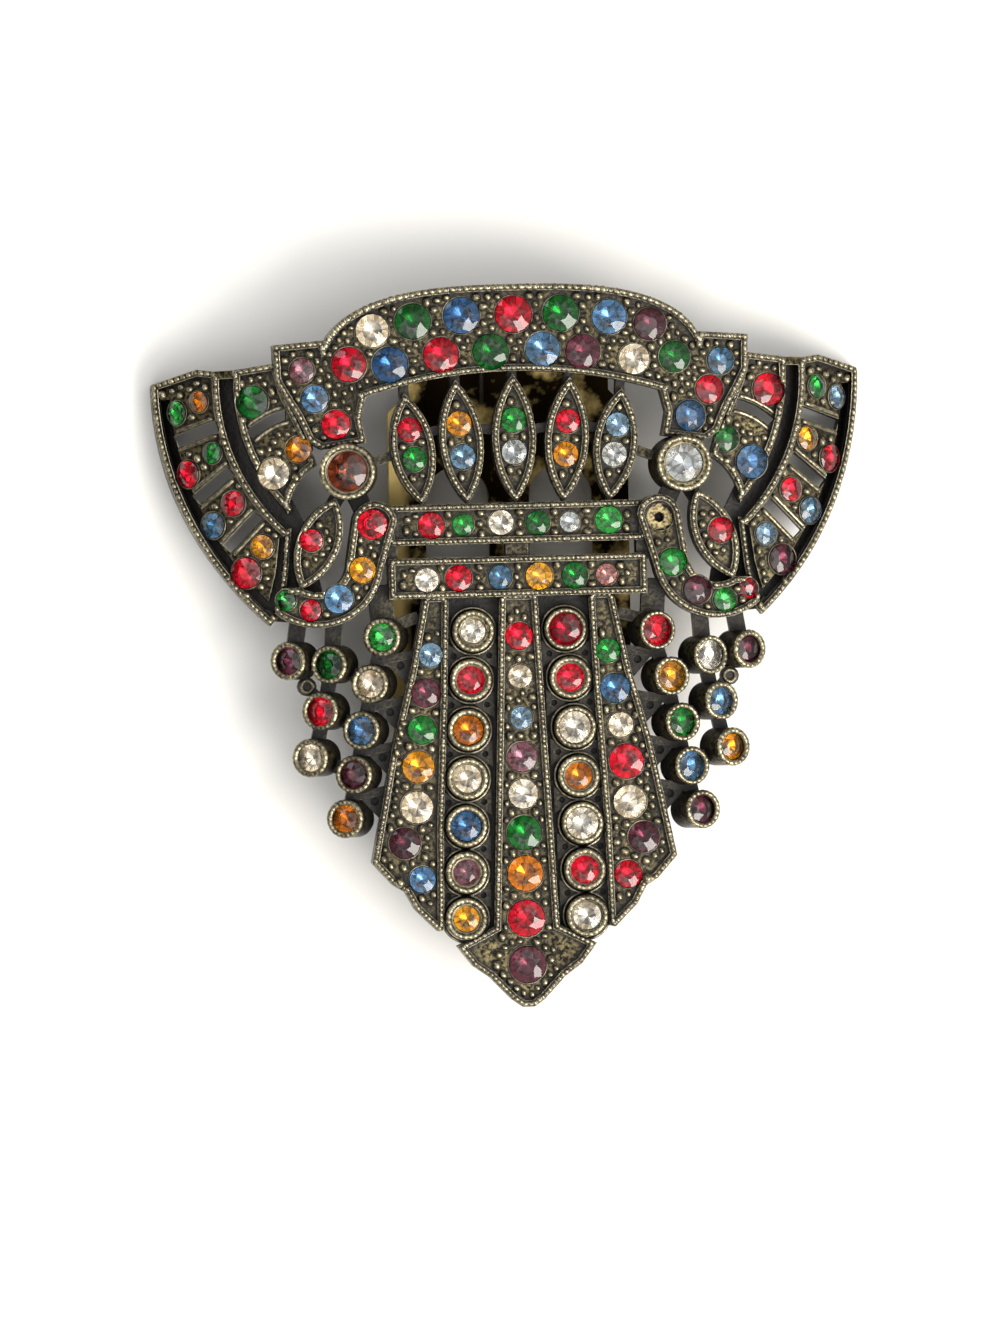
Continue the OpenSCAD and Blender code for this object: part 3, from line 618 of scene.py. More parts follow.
# %% [markdown]
# ## Cutting a stone
#
# A machine-cut chaton has a small table, a ring of star facets, eight kite facets, sixteen
# small facets along the girdle, and a pointed back. The ring between table and girdle stands
# just high enough for each kite to be flat. The crown is low, so that its kites lean by about
# 23 degrees and throw the window's light to an eye above. The back is steep below the girdle,
# at about 41 degrees, so that light turns twice in it and comes up again, and it is much
# flatter in the middle.

# %% The cut, for a stone of diameter 1
RIM_R = 0.5
TABLE_R = 0.21
STAR_R = 0.38
CROWN_HIGH = 0.155
GIRDLE_HIGH, GIRDLE_LOW = 0.03, 0.05
BACK_TURN_R, BACK_TURN_LOW = 0.25, 0.27
BACK_LOW = 0.34


def cut_stone():
    """Points and faces of a stone of diameter 1 with its girdle on z = 0, and which are foil."""
    eighth = math.tau / 8
    fall = (RIM_R - STAR_R * math.cos(eighth / 2)) / (RIM_R - TABLE_R)
    star_z = GIRDLE_HIGH + (CROWN_HIGH - GIRDLE_HIGH) * fall
    points = circle(TABLE_R, CROWN_HIGH, 8) + circle(STAR_R, star_z, 8, eighth / 2)
    points += circle(RIM_R, GIRDLE_HIGH, 16) + circle(RIM_R, -GIRDLE_LOW, 16)
    points += circle(BACK_TURN_R, -BACK_TURN_LOW, 16, eighth / 4) + [(0, 0, -BACK_LOW)]
    faces, foiled = [list(range(8))], [False]
    for i in range(8):
        j = (i + 1) % 8
        before = 8 + (i - 1) % 8
        corner, mid, beyond = 16 + 2 * i, 16 + 2 * i + 1, 16 + 2 * j
        faces += [[i, 8 + i, j], [i, before, corner, 8 + i],
                  [8 + i, corner, mid], [8 + i, mid, beyond]]
        foiled += [False] * 4
    for i in range(16):
        j = (i + 1) % 16
        faces += [[16 + i, 32 + i, 32 + j, 16 + j], [32 + i, 48 + i, 32 + j],
                  [48 + i, 48 + j, 32 + j], [48 + i, 64, 48 + j]]
        foiled += [True] * 4
    return points, faces, foiled


# %% Set the stones
POINTS, FACES, FOILED = cut_stone()
LEAN = 0.08  # how far a stone may lean each way, 0.08 being between 4 and 5 degrees
FOIL_TONES = (0.2, 0.7, 1.0)  # from dull to bright, for dulled foil and painted facet shading
chance = random.Random(7)
for node in STONE_NODES:
    glass = Gathered()
    for girdle, axis, diameter in seats[node]:
        glass_kind = GLASS_ORDER.index(colour_at(girdle)[0])
        spin = chance.uniform(0, math.tau)
        along = Vector((math.cos(spin), math.sin(spin), 0))
        lean = Vector((chance.uniform(-LEAN, LEAN), chance.uniform(-LEAN, LEAN), 0))
        kinds = [FOIL if foiled else glass_kind for foiled in FOILED]
        glass.add(stand(girdle, axis + lean, along, (diameter,) * 3), POINTS, FACES, kinds)
        glass.tones[STONE_TONE] += [chance.random()] * len(FACES)
        # Each back facet gets a random foil tone: dulled foil and painted light and dark of the
        # facets
        glass.tones[FOIL_TONE] += [chance.choice(FOIL_TONES) for _ in FACES]
    piece = glass.make("cut_" + node, stone_materials, smooth=False)
    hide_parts(node)

# %% [markdown]
# ## Outlines of the cast parts
#
# The raised edges are milled: a row of small beads runs along them. The rows follow the same
# outlines as the casting, a little inside the edge. Each outline is written as the casting has
# it, for the right half where the clip is mirrored.


# %% Outlines, in millimetres
def arc(cx, cy, r, start, end, steps):
    """Points on a round arc, with angles in degrees."""
    turns = [math.radians(start + (end - start) * i / steps) for i in range(steps + 1)]
    return [(cx + r * math.cos(a), cy + r * math.sin(a)) for a in turns]


def pod(a, b, width):
    """A pointed oval between two tips."""
    a, b = Vector(a), Vector(b)
    length = (b - a).length
    r = (length ** 2 / 4 + width ** 2 / 4) / width
    half = math.degrees(math.asin(length / 2 / r))
    sides = arc(0, width / 2 - r, r, 90 + half, 90 - half, 24)
    sides += arc(0, r - width / 2, r, half - 90, -90 - half, 24)
    along = (b - a).normalized()
    middle = (a + b) / 2
    return [(middle.x + x * along.x - y * along.y, middle.y + x * along.y + y * along.x)
            for x, y in sides]


ARCH_HALF, ARCH_FOOT, ARCH_RISE, ARCH_POWER = 16.6, 22, 8.45, 2.8
LOW_HALF, LOW_TOP, LOW_R = 15, 23.15, 42


def arch_outline():
    """The upper edge between an ellipse and a rectangle, and the lower edge as an arc."""
    top = []
    for i in range(73):
        a = math.radians(2.5 * i)
        c, s = math.cos(a), math.sin(a)
        x = ARCH_HALF * math.copysign(abs(c) ** (2 / ARCH_POWER), c)
        top.append((x, ARCH_FOOT + ARCH_RISE * abs(s) ** (2 / ARCH_POWER)))
    sweep = math.degrees(math.asin(LOW_HALF / LOW_R))
    return top, arc(0, LOW_TOP - LOW_R, LOW_R, 90 + sweep, 90 - sweep, 30)


arch_top, arch_low = arch_outline()
SHOULDER = [(12.4, 21.4), (12.9, 19.4), (12.5, 17.4), (16.2, 16.9), (17.3, 17.6), (18.2, 19.6),
            (19.3, 21.5), (20, 22.8), (20.1, 25.8), (15.9, 26.1), (15, 23)]
INNER_WING = ([(19.2, 21.9), (19.8, 24.3), (23.7, 23.8)] + arc(7.4, 22.6, 16, 2, -42, 14)
              + arc(14.4, 11.4, 4.75, 2, 62, 8) + [(17.2, 17.5), (18.1, 19.6)])
OUTER_WING = ([(24.5, 23.7), (26.4, 24), (30, 22.9)] + arc(2, 23, 28.1, -1, -48, 28)
              + [(19.8, 3.4), (19.3, 6.6), (18.9, 10.4)] + arc(7.4, 22.6, 17.2, -46, 2, 20))
LEAF = pod((15.2, 12.8), (18.3, 5.2), 3.6)
RIBBON = (arc(12, 10.6, 1.85, 175, 5, 12) + arc(16.9, 7.4, 2.5, 183, 305, 14)
          + [(20.3, 5.3), (20.7, 4.2)] + arc(16.9, 7.4, 5.5, 311, 190, 18))
BAR_HALF, BAR_WIDE = 10.9, 3.4
BARS = [[(-BAR_HALF, top - BAR_WIDE), (BAR_HALF, top - BAR_WIDE), (BAR_HALF, top),
         (-BAR_HALF, top)] for top in (12.05, 7.55)]
NAVETTES = [pod((x_foot, 12), (x_top, 22.9 - 0.017 * x_top ** 2), 3.7)
            for x_top, x_foot in ((0, 0), (4.85, 4.05), (9.2, 7.9))]
HALF_STRIP = [(1.6, 4.4), (2.75, -23.6), (5.9, -25.2), (4.6, -26.9), (3.2, -27.9), (1.4, -29.8),
              (0.5, -30.45)]
CENTRE_STRIP = [(-1.6, 4.4)] + HALF_STRIP + [(-x, y) for x, y in HALF_STRIP[:0:-1]]
SIDE_STRIP = [(5.9, 4.4), (8, 4.4), (9.3, -2), (10.9, -8), (12.1, -14), (12.9, -18), (11.2, -19.9),
              (10.2, -20.5), (9.4, -22), (7.5, -23.9), (7, -23.8), (6.8, -15), (6.2, -4)]
print("the arch's edge has", len(arch_top) + len(arch_low), "points")


# %% Walk along an outline
SHARPEST = 0.4  # keeps a sharp corner from being moved far out along its own point


def inset(points, distance, closed):
    """An outline moved inward by a distance, with its corners kept."""
    points = [Vector(p) for p in points]
    points = [p for i, p in enumerate(points) if (p - points[i - 1]).length > 1e-6]
    n = len(points)
    area = sum(points[i - 1].cross(points[i]) for i in range(n))
    turn = 1 if area > 0 else -1
    moved = []
    for i in range(n):
        steps = []
        if closed or i > 0:
            steps.append((points[i] - points[i - 1]).normalized())
        if closed or i < n - 1:
            steps.append((points[(i + 1) % n] - points[i]).normalized())
        inward = [Vector((-s.y, s.x)) * turn for s in steps]
        middle = sum(inward, Vector((0, 0))).normalized()
        moved.append(points[i] + middle * distance / max(SHARPEST, middle.dot(inward[0])))
    return moved


def walk(points, pitch, closed):
    """Places and directions along an outline, about a pitch apart."""
    line = list(points) + ([points[0]] if closed else [])
    lengths = [(line[i + 1] - line[i]).length for i in range(len(line) - 1)]
    total = sum(lengths)
    count = max(2, round(total / pitch))
    places, done, k = [], 0.0, 0
    for step in range(count):
        want = total * (step + 0.5) / count
        while done + lengths[k] < want:
            done += lengths[k]
            k += 1
        share = (want - done) / lengths[k]
        places.append((line[k].lerp(line[k + 1], share), (line[k + 1] - line[k]).normalized()))
    return places


# %% [markdown]
# ## Milled edges
#
# On the real clip the beads along the edges were cut in the master with a milling wheel, and
# the casting copied them. They are 0.4 to 0.6 mm apart. The lobes run into one another, so
# that from afar they look like one bright line with notches, and no two are quite alike. A lobe
# is only set where the metal under it really is a raised edge, so the rows stop by themselves
# where one part passes over another.

# %% Mill the edges
LOBE = dome_shape(8, 3)
RIM_H = 0.45  # how far a raised edge stands over its field
RIM_PLAY = 0.12
LOBE_LONG = 0.66  # half of a lobe's length, as a share of the pitch, so that lobes overlap
LOBE_HIGH = 0.25
LOBE_SLACK = (0.8, 1.12)
DEPTH = 0.26  # from the outline to the middle of the row
milled = Gathered()


def mill(outline, lift, pitch, width=0.48, depth=DEPTH, closed=True, both=True):
    """A row of lobes inside an outline whose raised edge stands at lift + RIM_H, on the right
    side of the clip or on both."""
    for side in ((1, -1) if both else (1,)):
        path = [(side * x, y) for x, y in outline]
        for spot, way in walk(inset(path, depth, closed), pitch, closed):
            place, normal, rise = metal_under(spot.x, spot.y)
            if abs(rise - lift - RIM_H) > RIM_PLAY:
                continue
            slack = chance.uniform(*LOBE_SLACK)
            size = (LOBE_LONG * pitch * slack, width / 2 * slack, LOBE_HIGH * slack)
            milled.add(stand(place, normal, Vector((*way, 0)), size), *LOBE)


# How far the fields of the band, the bows and the navettes stand over the face
BAND, BOW, NAVETTE = 0.4, 0.9, 0.1
mill(arch_top, BAND, 0.58, width=0.6, closed=False, both=False)
mill(arch_low[::-1], BAND, 0.42, depth=-DEPTH, closed=False, both=False)
mill(SHOULDER, BAND, 0.46)
mill(INNER_WING, 0, 0.55)
mill(OUTER_WING, 0, 0.5)
for outline in (LEAF, RIBBON):
    mill(outline, BOW, 0.5)
for outline in BARS:
    mill(outline, BAND, 0.4, both=False)
mill(NAVETTES[0], NAVETTE, 0.42, both=False)
for outline in NAVETTES[1:]:
    mill(outline, NAVETTE, 0.42)
mill(CENTRE_STRIP, 0, 0.42, both=False)
mill(SIDE_STRIP, 0, 0.42)
milled.make("milled_edges", [bead_metal], smooth=True)

# %% [markdown]
# ## Ridges beside the slots of the wings
#
# The open slots of the wings have raised lips, rubbed bright. A lip is drawn as a low rounded
# strip: at each step along its line the metal below is felt for its place and its normal, and
# five points are set across. Where the line leaves the field, the lip ends. The stones and the
# lips are noted as obstacles, so that the beads that come next keep clear of them.

# %% Obstacles for beads
stone_spots = [(girdle.x, girdle.y, diameter / 2) for found in seats.values()
               for girdle, _, diameter in found]
set_beads = []
print("stones to keep clear of:", len(stone_spots))

# %% Draw the ridges
LIP_HALF, LIP_HIGH = 0.22, 0.28
ACROSS = [(-1, -0.5), (-0.7, 0.6), (0, 1), (0.7, 0.6), (1, -0.5)]
ON_FACE = 0.08  # metal no further than this from the smooth face is part of it
END_SHARE = 0.35  # how high the ends of a lip are, as a share of its height
ridges = Gathered()


def ridge(line):
    """A low rounded strip along a line of the plan, where the line lies on the face."""
    places = []
    for x, y in line:
        place, normal, rise = metal_under(x, y)
        if abs(rise) < ON_FACE:
            places.append((place, normal))
            set_beads.append((x, y, LIP_HALF))
    if len(places) < 4:
        return
    points, faces = [], []
    last = len(places) - 1
    for i, (place, normal) in enumerate(places):
        way = places[min(i + 1, last)][0] - places[max(i - 1, 0)][0]
        side = normal.cross(way).normalized()
        full = END_SHARE if i in (0, last) else 1.0
        wide = LIP_HALF * (0.6 + 0.4 * full)
        points += [place + side * out * wide + normal * up * LIP_HIGH * full
                   for out, up in ACROSS]
    for i in range(last):
        for j in range(4):
            k = 5 * i + j
            faces.append([k + 5, k + 6, k + 1, k])
    for i in (0, last):
        faces.append([5 * i + j for j in range(5)])
    ridges.add(Matrix.Identity(4), points, faces)


SLOT_LINES = [((24.7, 19.2), (28.1, 18)), ((23.7, 15.4), (26.6, 13)), ((21.5, 11.6), (24.2, 8.8))]
SLOT_HALF = 0.5
LIP = 0.26  # from the edge of a slot to the middle of its lip
LIP_STEP, LIP_START = 0.2, -0.3
for side in (1, -1):
    for a, b in SLOT_LINES:
        a, b = Vector(a), Vector(b)
        way = (b - a).normalized()
        out = Vector((-way.y, way.x)) * (SLOT_HALF + LIP)
        steps = round((b - a).length / LIP_STEP) + 3
        for off in (out, -out):
            line = [a + off + way * (LIP_STEP * k + LIP_START) for k in range(steps)]
            ridge([(side * spot.x, spot.y) for spot in line])
    for r in (6.1 - LIP, 6.95 + LIP):
        ridge([(side * x, y) for x, y in arc(17.6, 13.6, r, 44, 78, 16)])
ridges.make("slot_lips", [bead_metal], smooth=True)

# %% [markdown]
# ## Beads that hold the stones
#
# A setter raises grains of metal from the field and pushes them over the girdles. Here they were
# cast full and round, 0.6 to 0.9 mm across. In the bars and strips they stand in pairs
# between two stones, against the edges. Elsewhere they fill the room that the stones leave. So
# the pairs come first. Then the fields are searched on a fine grid for the places with the most
# room, the largest bead that fits is set there, and the search goes on with what is left.

# %% Set one bead
GRAIN = dome_shape(12, 4)
GRAIN_SLACK, GRAIN_LEAN, GRAIN_HIGH = (0.86, 1.16), 0.3, 1.1
grains = Gathered()


def set_bead(x, y, radius):
    """A bead on the metal, a little higher than round and never quite like the last."""
    place, normal, _ = metal_under(x, y)
    slack = chance.uniform(*GRAIN_SLACK)
    lean = Vector((chance.uniform(-GRAIN_LEAN, GRAIN_LEAN),
                   chance.uniform(-GRAIN_LEAN, GRAIN_LEAN), 0))
    set_beads.append((x, y, radius))
    size = (radius * slack, radius / slack, GRAIN_HIGH * radius)
    grains.add(stand(place, normal + lean, size=size), *GRAIN)


# %% Pairs between the stones of a row
def row_of(node, holds):
    """The places of a node's stones that belong to a row, from one end to the other."""
    row = [(girdle.x, girdle.y, d / 2) for girdle, _, d in seats[node] if holds(girdle)]
    return sorted(row, key=lambda r: r[0] if node == "bar_stones" else r[1])


# The two bars, the centre strip and the two side strips
ROWS = [row_of("bar_stones", lambda g: g.y > 8), row_of("bar_stones", lambda g: g.y < 8),
        row_of("fan_stones", lambda g: abs(g.x) < 1 and g.y > -24)]
ROWS += [row_of("fan_stones", lambda g: side * g.x > 6.6 and over_face(g) < 0.3)
         for side in (1, -1)]
FIELD_TOPS = (0, NAVETTE, BAND, BOW)
FIELD_PLAY = 0.035
FOUR_WAYS = ((1, 0), (-1, 0), (0, 1), (0, -1))


def on_field(x, y, reach=0.0):
    """Whether a spot, and the ring at a reach round it, lies on one of the sunk fields."""
    spots = [(x, y)] + [(x + reach * a, y + reach * b) for a, b in FOUR_WAYS if reach]
    rises = [metal_under(*spot)[2] for spot in spots]
    return all(any(abs(rise - top) < FIELD_PLAY for top in FIELD_TOPS) for rise in rises)


def room_to(things, x, y):
    """Room between a spot and the nearest of some stones, lips or beads."""
    return min(math.hypot(x - a, y - b) - r for a, b, r in things)


# How far from the middle of the row a bead may stand, with the furthest tried first
OFFSETS = (1.0, 0.9, 0.8, 0.7, 0.6, 0.5, 0.4)
SMALLEST_IN_PAIR, BIGGEST_IN_PAIR = 0.24, 0.42
TO_WALL = 0.22
for row in ROWS:
    for (x0, y0, r0), (x1, y1, r1) in zip(row, row[1:]):
        way = Vector((x1 - x0, y1 - y0))
        span = way.length
        way.normalize()
        middle = Vector((x0, y0)) + way * (r0 + (span - r0 - r1) / 2)
        across = Vector((-way.y, way.x))
        for side in (1, -1):
            for off in OFFSETS:
                spot = middle + across * side * off
                room = room_to(stone_spots + set_beads, *spot)
                if on_field(*spot, TO_WALL) and room > SMALLEST_IN_PAIR:
                    set_bead(*spot, min(BIGGEST_IN_PAIR, room))
                    break
print("beads set in pairs:", grains.count)

# %% Search the fields for room
STEP = 0.1
columns = np.arange(-30.0, 30.01, STEP)
rows = np.arange(-30.4, 30.4, STEP)
is_field = np.array([[on_field(x, y) for y in rows] for x in columns])
near = np.zeros_like(is_field)
for di, dj in FOUR_WAYS:
    near |= np.roll(np.roll(is_field, di, 0), dj, 1)
edge_tree = tree_of([(columns[i], rows[j]) for i, j in np.argwhere(near & ~is_field)])
LEAST_ROOM, AMPLE_ROOM = 0.24, 0.42
rooms = []
for i, j in np.argwhere(is_field):
    room = edge_tree.find((columns[i], rows[j], 0))[2]
    if room > LEAST_ROOM:
        rooms.append((room, columns[i], rows[j]))
rooms.sort(key=lambda r: -min(r[0], AMPLE_ROOM))
print("places on the fields with room for a bead:", len(rooms))

# %% Fill the room
BIGGEST, SMALLEST = 0.45, 0.29
REACH = 0.6  # no bead stands further than this from a stone, because it would hold nothing
WALL_SPACE, BEAD_SPACE = 0.02, 0.1
for room, x, y in rooms:
    radius = min(BIGGEST, room - WALL_SPACE)
    if room_to(stone_spots, x, y) > REACH + radius:
        continue
    radius = min(radius, room_to(set_beads, x, y) - BEAD_SPACE)
    if radius > SMALLEST:
        set_bead(x, y, radius)
grains.make("setting_beads", [bead_metal], smooth=True)

# %% [markdown]
# ## Brackets beside the collets
#
# The collets are tied to the strips by small three-cornered brackets, each with a hole, and the
# side chains are tied on in the same way. They lie deep in the dark, so a flat plate with a round
# blind hole shows all there is to see. The bottom of each blind hole is dark cast metal, painted
# shade in place of the shaded floor seen through the real hole.

# %% Brackets of the fan and the chains
BRACKET_LIFT, CHAIN_LIFT = -0.35, -0.55  # from the face
TIP_X, BASE_X, BASE_HALF, THICK = 0.5, 2.15, 1.15, 0.5
HOLE_X, HOLE_R, HOLE_SIDES = 1.5, 0.28, 12


def bracket(side):
    """A three-cornered plate with a round blind hole, its tip towards the row of collets."""
    corners = [Vector((side * BASE_X, BASE_HALF)), Vector((side * BASE_X, -BASE_HALF)),
               Vector((side * TIP_X, 0))]
    middle = Vector((side * HOLE_X, 0))
    walls = []
    for a, b in zip(corners, corners[1:] + corners[:1]):
        outward = Vector((b.y - a.y, a.x - b.x)).normalized() * -side
        walls.append((outward, (a - middle).dot(outward)))
    ways = [Vector(point[:2]) for point in circle(1, 0, HOLE_SIDES)]
    ring = [middle + way * HOLE_R for way in ways]
    outer = [middle + way * min(far / way.dot(outward) for outward, far in walls
                                if way.dot(outward) > 1e-6) for way in ways]
    points = [(*p, 0) for p in ring + outer] + [(*p, -THICK) for p in ring + [middle]]
    n, faces = HOLE_SIDES, []
    for i in range(n):
        j = (i + 1) % n
        faces += [[n + i, n + j, j, i], [i, j, 2 * n + j, 2 * n + i], [2 * n + i, 2 * n + j, 3 * n]]
    return points, faces


def between(row):
    """The places half-way between the stones of a row."""
    return [((a[0] + b[0]) / 2, (a[1] + b[1]) / 2) for a, b in zip(row, row[1:])]


brackets = Gathered()
for x, y in between(FAN_COLUMN):
    for wing in (1, -1):
        for side in (1, -1):
            place = Matrix.Translation((wing * x, y, FACE_Z + BRACKET_LIFT))
            brackets.add(place, *bracket(side))
CHAIN_LEAN = math.radians(15)
CHAIN_STRETCH = Matrix.Diagonal((1.25, 1.2, 1, 1))
for x, y in between(INNER_CHAIN):
    z = FACE_Z - over_face((x, y, FACE_Z)) + CHAIN_LIFT
    for wing in (1, -1):
        place = Matrix.Translation((wing * x, y, z)) @ Matrix.Rotation(wing * CHAIN_LEAN, 4, "Z")
        brackets.add(place @ CHAIN_STRETCH, *bracket(-wing))
# The cast metal paints the bottom of each blind hole dark, as painted shade
brackets.make("fan_brackets", [cast_metal], smooth=False)

# %% [markdown]
# ## Rims of the seats and collets
#
# A field stone has a thin ring of metal pressed against its girdle, in the darker metal, so that
# it paints the shadow between stone and field. A collet is a little cup with a wall of its own.
# Its rim was milled too, so a circle of small notched lobes leans on the stone. Where the stone is
# smaller than its cup, a thin inner ring closes the room between them. The collets of the fan
# stand in a plain flange as well.

# %% A notched ring
NOTCH = (1, 0.94, 0.55, 0.94)  # how high the ring is from one lobe to the next


def notched_ring(radius, half_wide, high, notches):
    """A low ring whose back is cut by notches, five rings of points across."""
    sides = len(NOTCH) * notches
    across = [(-1, -0.6), (-0.75, 0.55), (0, 1), (0.75, 0.55), (1, -0.6)]
    points, faces = [], []
    for i in range(sides):
        a = math.tau * i / sides
        full = NOTCH[i % len(NOTCH)]
        for out, up in across:
            reach = radius + out * half_wide * (0.75 + 0.25 * full)
            lift = high * up * (full if up > 0 else 1)
            points.append((reach * math.cos(a), reach * math.sin(a), lift))
        k = (i + 1) % sides
        faces += [[5 * i + j + 1, 5 * k + j + 1, 5 * k + j, 5 * i + j] for j in range(4)]
    return points, faces


print("a ring of 20 notches has", len(notched_ring(2, 0.2, 0.2, 20)[1]), "faces")

# %% Rims round every stone
# How wide the collets are. Their stones lie further over the face than COLLET_LIFT says, and
# every stone of the chains is in one
COLLETS = {"chain_stones": 3.2, "fan_stones": 3.5, "shoulder_stones": 4.7}
COLLET_LIFT = {"chain_stones": NO_METAL, "fan_stones": 0.2, "shoulder_stones": 1}
SHADOW_RING_METAL = 1  # the number of the darker metal among the rims' materials, painting the shadow round a field stone
RING_OUT, RING_TUBE, RING_LOW = 0.08, 0.065, 0.09
RIM_OVER = 0.35  # from the girdle up to the rim of a collet
OVERLAP = 0.04  # of the rim over the stone, and over the wall of the collet
RIM_HALF, RIM_HIGH, NOTCH_PITCH = 0.26, 0.17, 0.42
INNER_TUBE = 0.1
FLANGE_OUT, FLANGE_TUBE, FLANGE_LOW = 0.2, 0.14, 0.95
rims = Gathered()
for node, found in seats.items():
    for girdle, axis, diameter in found:
        if node not in COLLETS or over_face(girdle) <= COLLET_LIFT[node]:
            points, faces = ring_shape(diameter / 2 + RING_OUT, RING_TUBE, 28, 6)
            # Painted shadow: the ring round a field stone takes the darker metal
            kinds = [SHADOW_RING_METAL] * len(faces)
            rims.add(stand(girdle - axis * RING_LOW, axis), points, faces, kinds)
            continue
        outer = COLLETS[node] / 2
        rim = girdle + axis * RIM_OVER
        inner = diameter / 2 - OVERLAP
        half_wide = min(RIM_HALF, (outer + OVERLAP - inner) / 2)
        middle = outer + OVERLAP - half_wide
        notches = round(math.tau * middle / NOTCH_PITCH)
        rims.add(stand(rim, axis), *notched_ring(middle, half_wide, RIM_HIGH, notches))
        if inner < middle - half_wide - INNER_TUBE:
            closing = ring_shape(inner + INNER_TUBE, INNER_TUBE, 32, 6)
            rims.add(stand(girdle + axis * INNER_TUBE, axis), *closing)
        if node == "fan_stones":
            flange = ring_shape(outer + FLANGE_OUT, FLANGE_TUBE, 40, 6)
            rims.add(stand(rim - axis * FLANGE_LOW, axis), *flange)
LUG, LUG_R, LUG_TUBE = (17.9, -3.0), 0.5, 0.2
for side in (1, -1):
    place, normal, _ = metal_under(side * LUG[0], LUG[1])
    rims.add(stand(place, normal), *ring_shape(LUG_R, LUG_TUBE, 24, 8))
rims.make("stone_rims", [bead_metal, cast_metal], smooth=True)

# %% [markdown]
# ## The empty seat
#
# The ribbon on the right has lost its uppermost stone. What is left in the seat is a crust of
# old yellow cement with a dark hollow in the middle, where the point of the stone sat. The crust
# is drawn as rings of points laid on the metal of the seat, each lifted by a chance amount.

# %% Old cement
SEAT = Vector((12.1, 10.5))
CRUST_RINGS = (0.42, 0.55, 0.7, 0.86, 1.02)
CRUST_SIDES = 22
CRUST_SLACK, CRUST_LIFT = (0.9, 1.14), (0.04, 0.3)
HOLLOW_DEEP = 0.9


def old_cement():
    """Yellowed cement, rough, with dirt in its pits 0.25 mm apart."""
    material, tree = new_material("old yellow cement")
    where = add_node(tree, "TexCoord").outputs["Object"]
    pits = add_node(tree, "TexNoise", {"Scale": 4000, "Detail": 3}, {"Vector": where})
    pitted = add_node(tree, "MapRange", {"From Min": 0.36, "From Max": 0.6},
                      {"Value": pits})
    colour = add_node(tree, "Mix", {MIX_A: linear("#3a2c16"), MIX_B: linear("#b8a878")},
                      {0: pitted}, data_type="RGBA")
    bump = add_node(tree, "Bump", {"Strength": 0.8, "Distance": 0.1 * MM}, {"Height": pits})
    shader = add_node(tree, "BsdfPrincipled", {"Roughness": 0.7},
                      {"Base Color": colour.outputs[MIX_OUT], "Normal": bump})
    add_node(tree, "OutputMaterial", links={"Surface": shader})
    return material


crust_points = []
for r in CRUST_RINGS:
    for i in range(CRUST_SIDES):
        a = math.tau * i / CRUST_SIDES
        spot = SEAT + Vector((math.cos(a), math.sin(a))) * r * chance.uniform(*CRUST_SLACK)
        crust_points.append(metal_under(*spot)[0] + Vector((0, 0, chance.uniform(*CRUST_LIFT))))
low = min(p.z for p in crust_points)
crust_points.append(Vector((*SEAT, low - HOLLOW_DEEP)))
tip = len(crust_points) - 1
crust_faces = [face[::-1] for face in ring_faces(len(CRUST_RINGS), CRUST_SIDES)]
# The hollow takes the cast metal, which is dark below the face as wash and painted shade
crust_kinds = [0] * len(crust_faces) + [1] * CRUST_SIDES
crust_faces += [[tip, (i + 1) % CRUST_SIDES, i] for i in range(CRUST_SIDES)]
crust = Gathered()
crust.add(Matrix.Identity(4), crust_points, crust_faces, crust_kinds)
crust.make("seat_cement", [old_cement(), cast_metal], smooth=True)

# %% [markdown]
# ## Floor, light and camera
#
# The clip lies on its back on a pale floor. A soft light stands on the right, as a window
# would, so that every bead and facet has one bright spot, and a weak one stands opposite. The
# sky is brightest in a ring some way off the zenith, because the foil throws the light of that
# ring back to an eye above. Low down it is dim, because light from there only lies as a haze on
# the crowns. The camera looks straight down from far away, turned and tipped by the small
# angles at which the clip is seen.

# %% Floor
FLOOR_HALF = 1.5
floor_mesh = bpy.data.meshes.new("pale floor")
corners = [(x * FLOOR_HALF, y * FLOOR_HALF, 0) for x, y in ((-1, -1), (1, -1), (1, 1), (-1, 1))]
floor_mesh.from_pydata(corners, [], [[0, 1, 2, 3]])
floor = new_object("pale_floor", floor_mesh)
floor.location.z = -0.02 * MM
material, tree = new_material("pale matt floor")
shader = add_node(tree, "BsdfPrincipled", {"Base Color": linear("#dfdedc"), "Roughness": 0.7})
add_node(tree, "OutputMaterial", links={"Surface": shader})
floor_mesh.materials.append(material)
print("floor:", 2 * FLOOR_HALF, "m wide")


# %% Light
AIM = Vector((0, 0, 0.008))


def soft_light(name, place, size, power, colour):
    """A square softbox that faces the clip."""
    light = bpy.data.lights.new(name, "AREA")
    light.shape = "SQUARE"
    light.size = size
    light.energy = power
    light.color = linear(colour)[:3]
    lamp = new_object(name, light)
    lamp.location = place
    lamp.rotation_euler = (AIM - Vector(place)).to_track_quat("-Z", "Y").to_euler()
    print(name, "gives", power, "W")


soft_light("window", (0.36, -0.31, 0.5), 0.4, 5.8, "#fffaf2")
soft_light("far wall", (-0.5, 0.5, 0.4), 0.3, 0.8, "#f4f8ff")

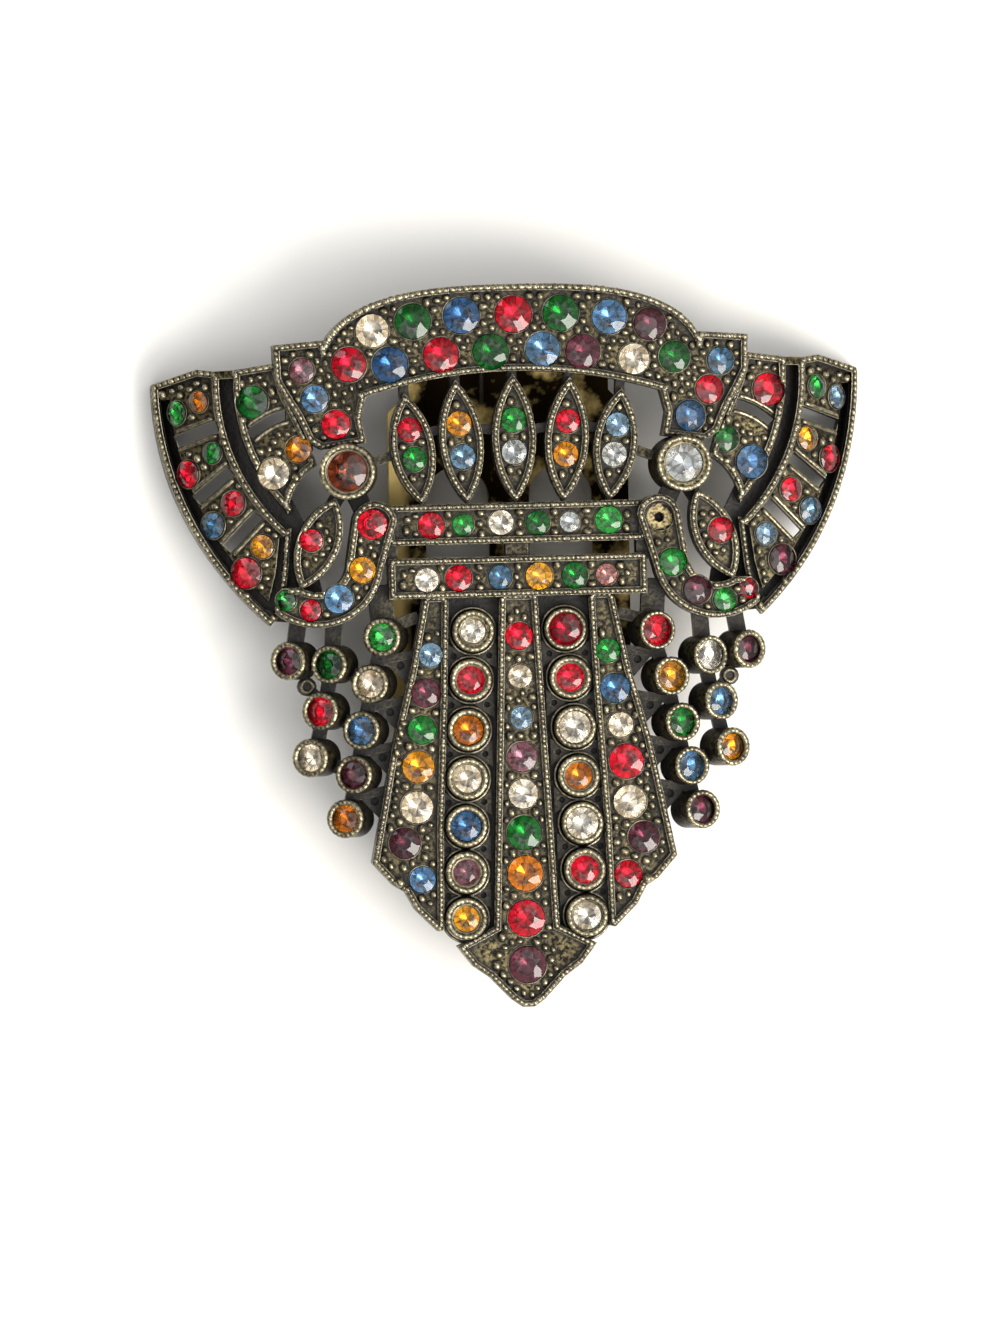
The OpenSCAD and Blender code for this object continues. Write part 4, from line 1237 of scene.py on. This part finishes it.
# %% Sky
world = bpy.data.worlds.new("studio")
world.use_nodes = True
sky = world.node_tree
sky.nodes.clear()
where = add_node(sky, "TexCoord").outputs["Generated"]
toward = add_node(sky, "VectorMath", {1: Vector((0.45, -0.4, 0.8)).normalized()}, {0: where},
                  operation="DOT_PRODUCT")
bright = add_node(sky, "MapRange", {"From Min": -0.1, "From Max": 0.95, "To Min": 0.4,
                                    "To Max": 3.2}, {"Value": toward.outputs["Value"]},
                  interpolation_type="SMOOTHSTEP")
# Whoever looks straight down on the clip keeps some of the light off it, within 20 degrees of
# the zenith. Further than 49 degrees from the zenith the light is dim. Angles are cosines here.
overhead = add_node(sky, "VectorMath", {1: (0, 0, 1)}, {0: where}, operation="DOT_PRODUCT")
shade = add_node(sky, "MapRange", {"From Min": 0.94, "From Max": 0.99, "To Min": 1.0,
                                   "To Max": 0.3}, {"Value": overhead.outputs["Value"]},
                 interpolation_type="SMOOTHSTEP")
low = add_node(sky, "MapRange", {"From Min": 0.66, "From Max": 0.88, "To Min": 0.26},
               {"Value": overhead.outputs["Value"]}, interpolation_type="SMOOTHSTEP")
shaded = add_node(sky, "Math", links={0: low, 1: shade}, operation="MULTIPLY")
power = add_node(sky, "Math", links={0: bright, 1: shaded}, operation="MULTIPLY")
glow = add_node(sky, "Background", {"Color": linear("#fbfaf7")}, {"Strength": power})
add_node(sky, "OutputWorld", links={"Surface": glow})
bpy.context.scene.world = world
bpy.context.scene.view_settings.view_transform = "Standard"
print("the sky is made of", len(sky.nodes), "nodes")

# %% Camera
PIXELS_PER_MM = 11.87
FRAME_HIGH = 1333
DISTANCE = 1.0
TURN = math.radians(-1.533)
TIP = math.radians(4.5)
camera_data = bpy.data.cameras.new("camera")
camera_data.lens = camera_data.sensor_width * DISTANCE / (FRAME_HIGH / PIXELS_PER_MM * MM)
camera_data.clip_end = 10
camera = new_object("camera", camera_data)
aim = Vector((-1.67, -1.73, 9.6)) * MM
turned = Matrix.Rotation(TURN, 4, "Z") @ Matrix.Rotation(-TIP, 4, "Y")
camera.matrix_world = Matrix.Translation(aim) @ turned @ Matrix.Translation((0, 0, DISTANCE))
bpy.context.scene.camera = camera
print("lens", round(camera_data.lens), "mm at", DISTANCE, "m")
